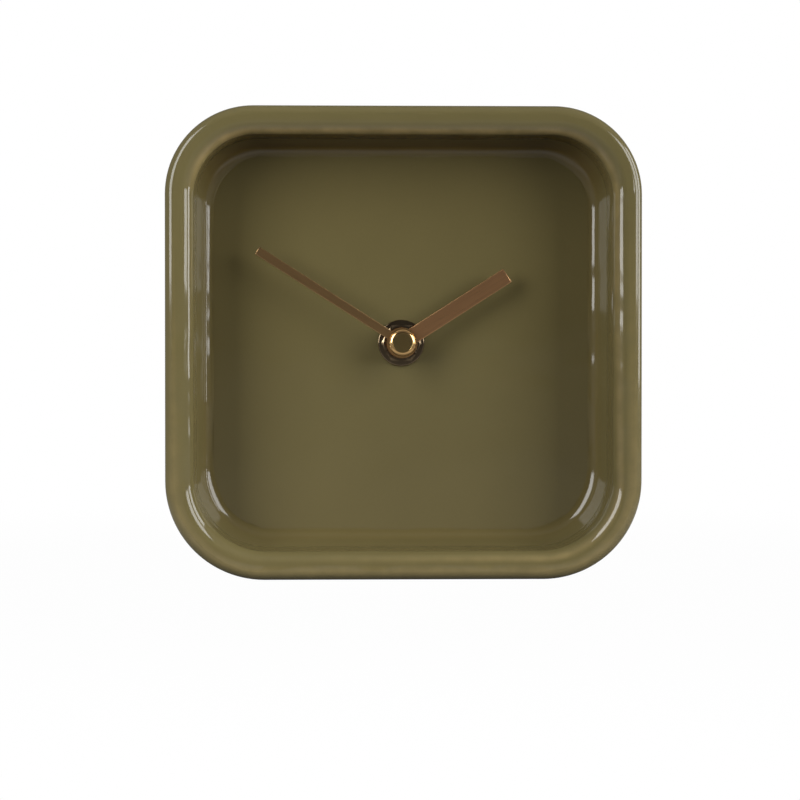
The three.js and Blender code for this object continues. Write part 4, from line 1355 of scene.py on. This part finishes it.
OUTER_PIECES = (
    Refined("movement_front_case", "case", 0.22, BLACK_PLASTIC, "black_plastic"),
    Refined("rear_cover", "cover", 0.22, BLACK_PLASTIC, "black_plastic"),
    Refined("positive_contact", "contact_plus", 0.06, NICKEL_STEEL, "nickel_steel"),
    Refined("negative_contact", "contact_minus", 0.06, NICKEL_STEEL, "nickel_steel"),
    Refined("setting_knob", "knob", 0.18, KNOB_PLASTIC, "black_plastic", Body.SETTING),
    Refined("battery_cell", "cell", 0.15, CELL_JACKET, "cell_jacket", segments=3, angle=25.0),
)

INNER_FINISHES = {
    "rubber_gasket": SOFT_RUBBER,
    "hour_wheel": WHITE_ACETAL,
    "minute_arbor": TURNED_BRASS,
    "minute_wheel": WHITE_ACETAL,
    "setting_pinion": WHITE_ACETAL,
    "centre_wheel": WHITE_ACETAL,
    "clutch_spring": NICKEL_STEEL,
    "third_wheel": WHITE_ACETAL,
    "second_wheel": WHITE_ACETAL,
    "intermediate_wheel": WHITE_ACETAL,
    "rotor_magnet": DARK_MAGNET,
    "rotor_pinion": WHITE_ACETAL,
    "stator_plate": ELECTRIC_STEEL,
    "coil_core": ELECTRIC_STEEL,
    "coil_bobbin": BOBBIN_PLASTIC,
    "coil_winding": COPPER_WIRE,
    "train_bridge": BLACK_PLASTIC,
    "circuit_board": BOARD_GREEN,
    "quartz_crystal": NICKEL_STEEL,
    "control_chip": BLACK_RESIN,
    **{f"bridge_screw_{i}": NICKEL_STEEL for i in (1, 2, 3, 4)},
    **{f"stator_screw_{i}": NICKEL_STEEL for i in (1, 2)},
}


class Movement:
    """What the open back shows of the movement, and the finishes of its inner works."""

    def build(self) -> None:
        """Refines the outer pieces and dresses the inner ones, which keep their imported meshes."""
        for piece in OUTER_PIECES:
            piece.build()
        for node, finish in INNER_FINISHES.items():
            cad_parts[node].material_slots[0].material = finish.material()
            log.info("%s: %s", node, finish.name)


@dataclass(frozen=True)
class Softbox:
    """Tall upright panel that faces the clock.

    Attributes:
        side: Where it stands.
        turn: Its middle's angle from straight in front of the dial, in degrees.
        spread: The angle that its width takes up, in degrees.
        low: Its lower edge above the hands' axis, in millimetres.
        high: Its upper edge above the hands' axis, in millimetres.
        strength: Its brightness, where 1 is white.
        glossy: Whether the glaze mirrors it.
    """

    side: Side
    turn: float
    spread: float
    low: float
    high: float
    strength: float
    glossy: bool = True

    def build(self) -> None:
        """Hangs the panel."""
        light = bpy.data.lights.new(f"softbox_{self.side.name.lower()}", "AREA")
        light.shape = "RECTANGLE"
        light.size = 2.0 * SOFTBOX_DISTANCE * math.tan(math.radians(self.spread) / 2)
        light.size_y = (self.high - self.low) * MM
        light.energy = self.strength * math.pi * light.size * light.size_y
        angle = self.side.value * math.radians(self.turn)
        obj = bpy.data.objects.new(light.name, light)
        x, y = SOFTBOX_DISTANCE * math.sin(angle), -SOFTBOX_DISTANCE * math.cos(angle)
        obj.location = (x, y, (AXIS_HEIGHT + (self.low + self.high) / 2) * MM)
        obj.rotation_euler = (math.pi / 2, 0.0, angle)
        obj.visible_camera = False
        obj.visible_glossy = self.glossy
        bpy.context.scene.collection.objects.link(obj)
        log.info("%s: %g degrees", obj.name, self.turn)


SOFTBOXES = (
    Softbox(Side.LEFT, 47.0, 27.0, 26.0, 850.0, 7.0),
    Softbox(Side.RIGHT, 49.5, 25.0, 24.0, 650.0, 6.3),
    Softbox(Side.RIGHT, 83.0, 22.0, -26.0, 650.0, 6.3),
    Softbox(Side.LEFT, 47.0, 27.0, 850.0, 1100.0, 7.0, glossy=False),
    Softbox(Side.RIGHT, 49.5, 25.0, 650.0, 900.0, 6.3, glossy=False),
    Softbox(Side.RIGHT, 83.0, 22.0, 650.0, 900.0, 6.3, glossy=False),
    Softbox(Side.LEFT, 50.0, 28.0, -163.0, 337.0, 2.0, glossy=False),
    Softbox(Side.RIGHT, 50.0, 28.0, -163.0, 337.0, 1.9, glossy=False),
    Softbox(Side.RIGHT, 75.0, 28.0, -163.0, 337.0, 3.2, glossy=False),
)


@dataclass
class Studio:
    """White floor, a dim room, tall softboxes on both sides and the camera.

    The pairs are where a step starts and ends: in metres from the clock on the floor, and as the
    cosine of the angle from straight in front of the dial in the room.
    """

    floor_size: float = 30.0
    floor_grey: float = 0.12
    shadow_share: float = 0.015
    shadow_reach: Pair = (0.12, 0.45)
    mirrored_base: float = 0.14
    # painted light: a ring of floor round the clock that glows brighter in reflections
    painted_lit_ring_gain: float = 0.30
    mirrored_start: Pair = (0.06, 0.09)
    mirrored_end: Pair = (0.13, 0.20)
    room_level: float = 0.20
    room_dark: float = 0.03
    room_turn: Pair = (0.50, 0.92)
    lens: float = 143.7
    sensor: float = 36.0
    distance: float = 900.0
    camera_x: float = -40.0
    centre_pixel: Pair = (404.5, 342.9)
    front: float = -25.0

    def build(self) -> None:
        """Sets the whole studio."""
        self.floor()
        self.room()
        for softbox in SOFTBOXES:
            softbox.build()
        self.camera()

    def floor(self) -> None:
        """Pale floor: white to the camera, with a trace of the clock's shadow, and grey in
        reflections with a painted lit ring round the clock.
        """
        bpy.ops.object.select_all(action="DESELECT")
        bpy.ops.mesh.primitive_plane_add(size=self.floor_size, location=(0.0, 0.0, 0.0))
        obj = bpy.context.object
        obj.name = "floor"
        shader = Shader("floor_white")
        grey = (self.floor_grey, self.floor_grey, self.floor_grey)
        shader.set(Base_Color=grey, Roughness=0.9, Specular_IOR_Level=0.0)
        by_camera = shader.node("ShaderNodeLightPath", output="Is Camera Ray")
        by_gloss = shader.node("ShaderNodeLightPath", output="Is Glossy Ray")
        place = {0: shader.place()}
        far = shader.node("ShaderNodeVectorMath", {"operation": "LENGTH"}, place, "Value")
        white = 1.0 - self.shadow_share + self.shadow_share * far.between(*self.shadow_reach)
        # painted light: the ring round the clock that glows brighter, seen only in reflections
        band = far.between(*self.mirrored_start) * (1.0 - far.between(*self.mirrored_end))
        mirrored_with_lit_ring = self.mirrored_base + self.painted_lit_ring_gain * band
        seen = white * by_camera + mirrored_with_lit_ring * by_gloss
        glow = shader.node("ShaderNodeEmission", inputs={"Color": (1.0, 1.0, 1.0), "Strength": 1.0})
        diffuse = Signal(shader, shader.surface.outputs[0])
        mix = shader.node("ShaderNodeMixShader", inputs={0: seen, 1: diffuse, 2: glow})
        shader.plug(shader.tree.nodes["Material Output"].inputs["Surface"], mix)
        obj.data.materials.append(shader.material)
        log.info("%s: %g m across", obj.name, self.floor_size)

    def room(self) -> None:
        """Even pale room that is white to the camera and dark round the lens."""
        world = bpy.data.worlds.new("room")
        bpy.context.scene.world = world
        world.use_nodes = True
        nodes = Nodes(world.node_tree)
        ahead = {0: nodes.node("ShaderNodeTexCoord", output="Generated"), 1: (0.0, -1.0, 0.0)}
        facing = nodes.node("ShaderNodeVectorMath", {"operation": "DOT_PRODUCT"}, ahead, "Value")
        start, end = self.room_turn
        fade = {0: facing, 1: start, 2: end, 3: self.room_level, 4: self.room_dark}
        level = nodes.node("ShaderNodeMapRange", {"interpolation_type": "SMOOTHSTEP"}, fade)
        by_camera = nodes.node("ShaderNodeLightPath", output="Is Camera Ray")
        levels = {0: by_camera, 2: level, 3: 1.0}
        strength = nodes.node("ShaderNodeMix", {"data_type": "FLOAT"}, levels)
        background = nodes.tree.nodes["Background"].inputs
        nodes.plug(background["Color"], (1.0, 1.0, 1.0))
        nodes.plug(background["Strength"], strength)

    def camera(self) -> None:
        """Long lens, level with the hands' axis, aimed so that the clock sits high in the frame."""
        data = bpy.data.cameras.new("camera")
        data.lens = self.lens
        data.sensor_width = self.sensor
        obj = bpy.data.objects.new("camera", data)
        bpy.context.scene.collection.objects.link(obj)
        eye = Vector((self.camera_x, self.front - self.distance, AXIS_HEIGHT)) * MM
        centre = Vector((0.0, self.front, AXIS_HEIGHT)) * MM
        focal = self.lens / self.sensor * IMAGE_SIZE
        across = (self.centre_pixel[0] - IMAGE_SIZE / 2) / focal
        down = (self.centre_pixel[1] - IMAGE_SIZE / 2) / focal
        line = (centre - eye).normalized()
        yaw = math.atan2(line.x, line.y) - math.atan(across)
        pitch = math.asin(line.z) + math.atan(down)
        level = math.cos(pitch)
        aim = Vector((math.sin(yaw) * level, math.cos(yaw) * level, math.sin(pitch)))
        obj.location = eye
        obj.rotation_euler = aim.to_track_quat("-Z", "Y").to_euler()
        bpy.context.scene.camera = obj


def main() -> None:
    """Builds the clock and its studio, in order."""
    logging.basicConfig(level=logging.INFO, format="%(name)s: %(message)s")
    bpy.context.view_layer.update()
    CeramicBlock().build()
    Hands().build()
    DialMount().build()
    Movement().build()
    Studio().build()
    bpy.context.scene.view_settings.view_transform = "Standard"


if __name__ == "__main__":
    main()
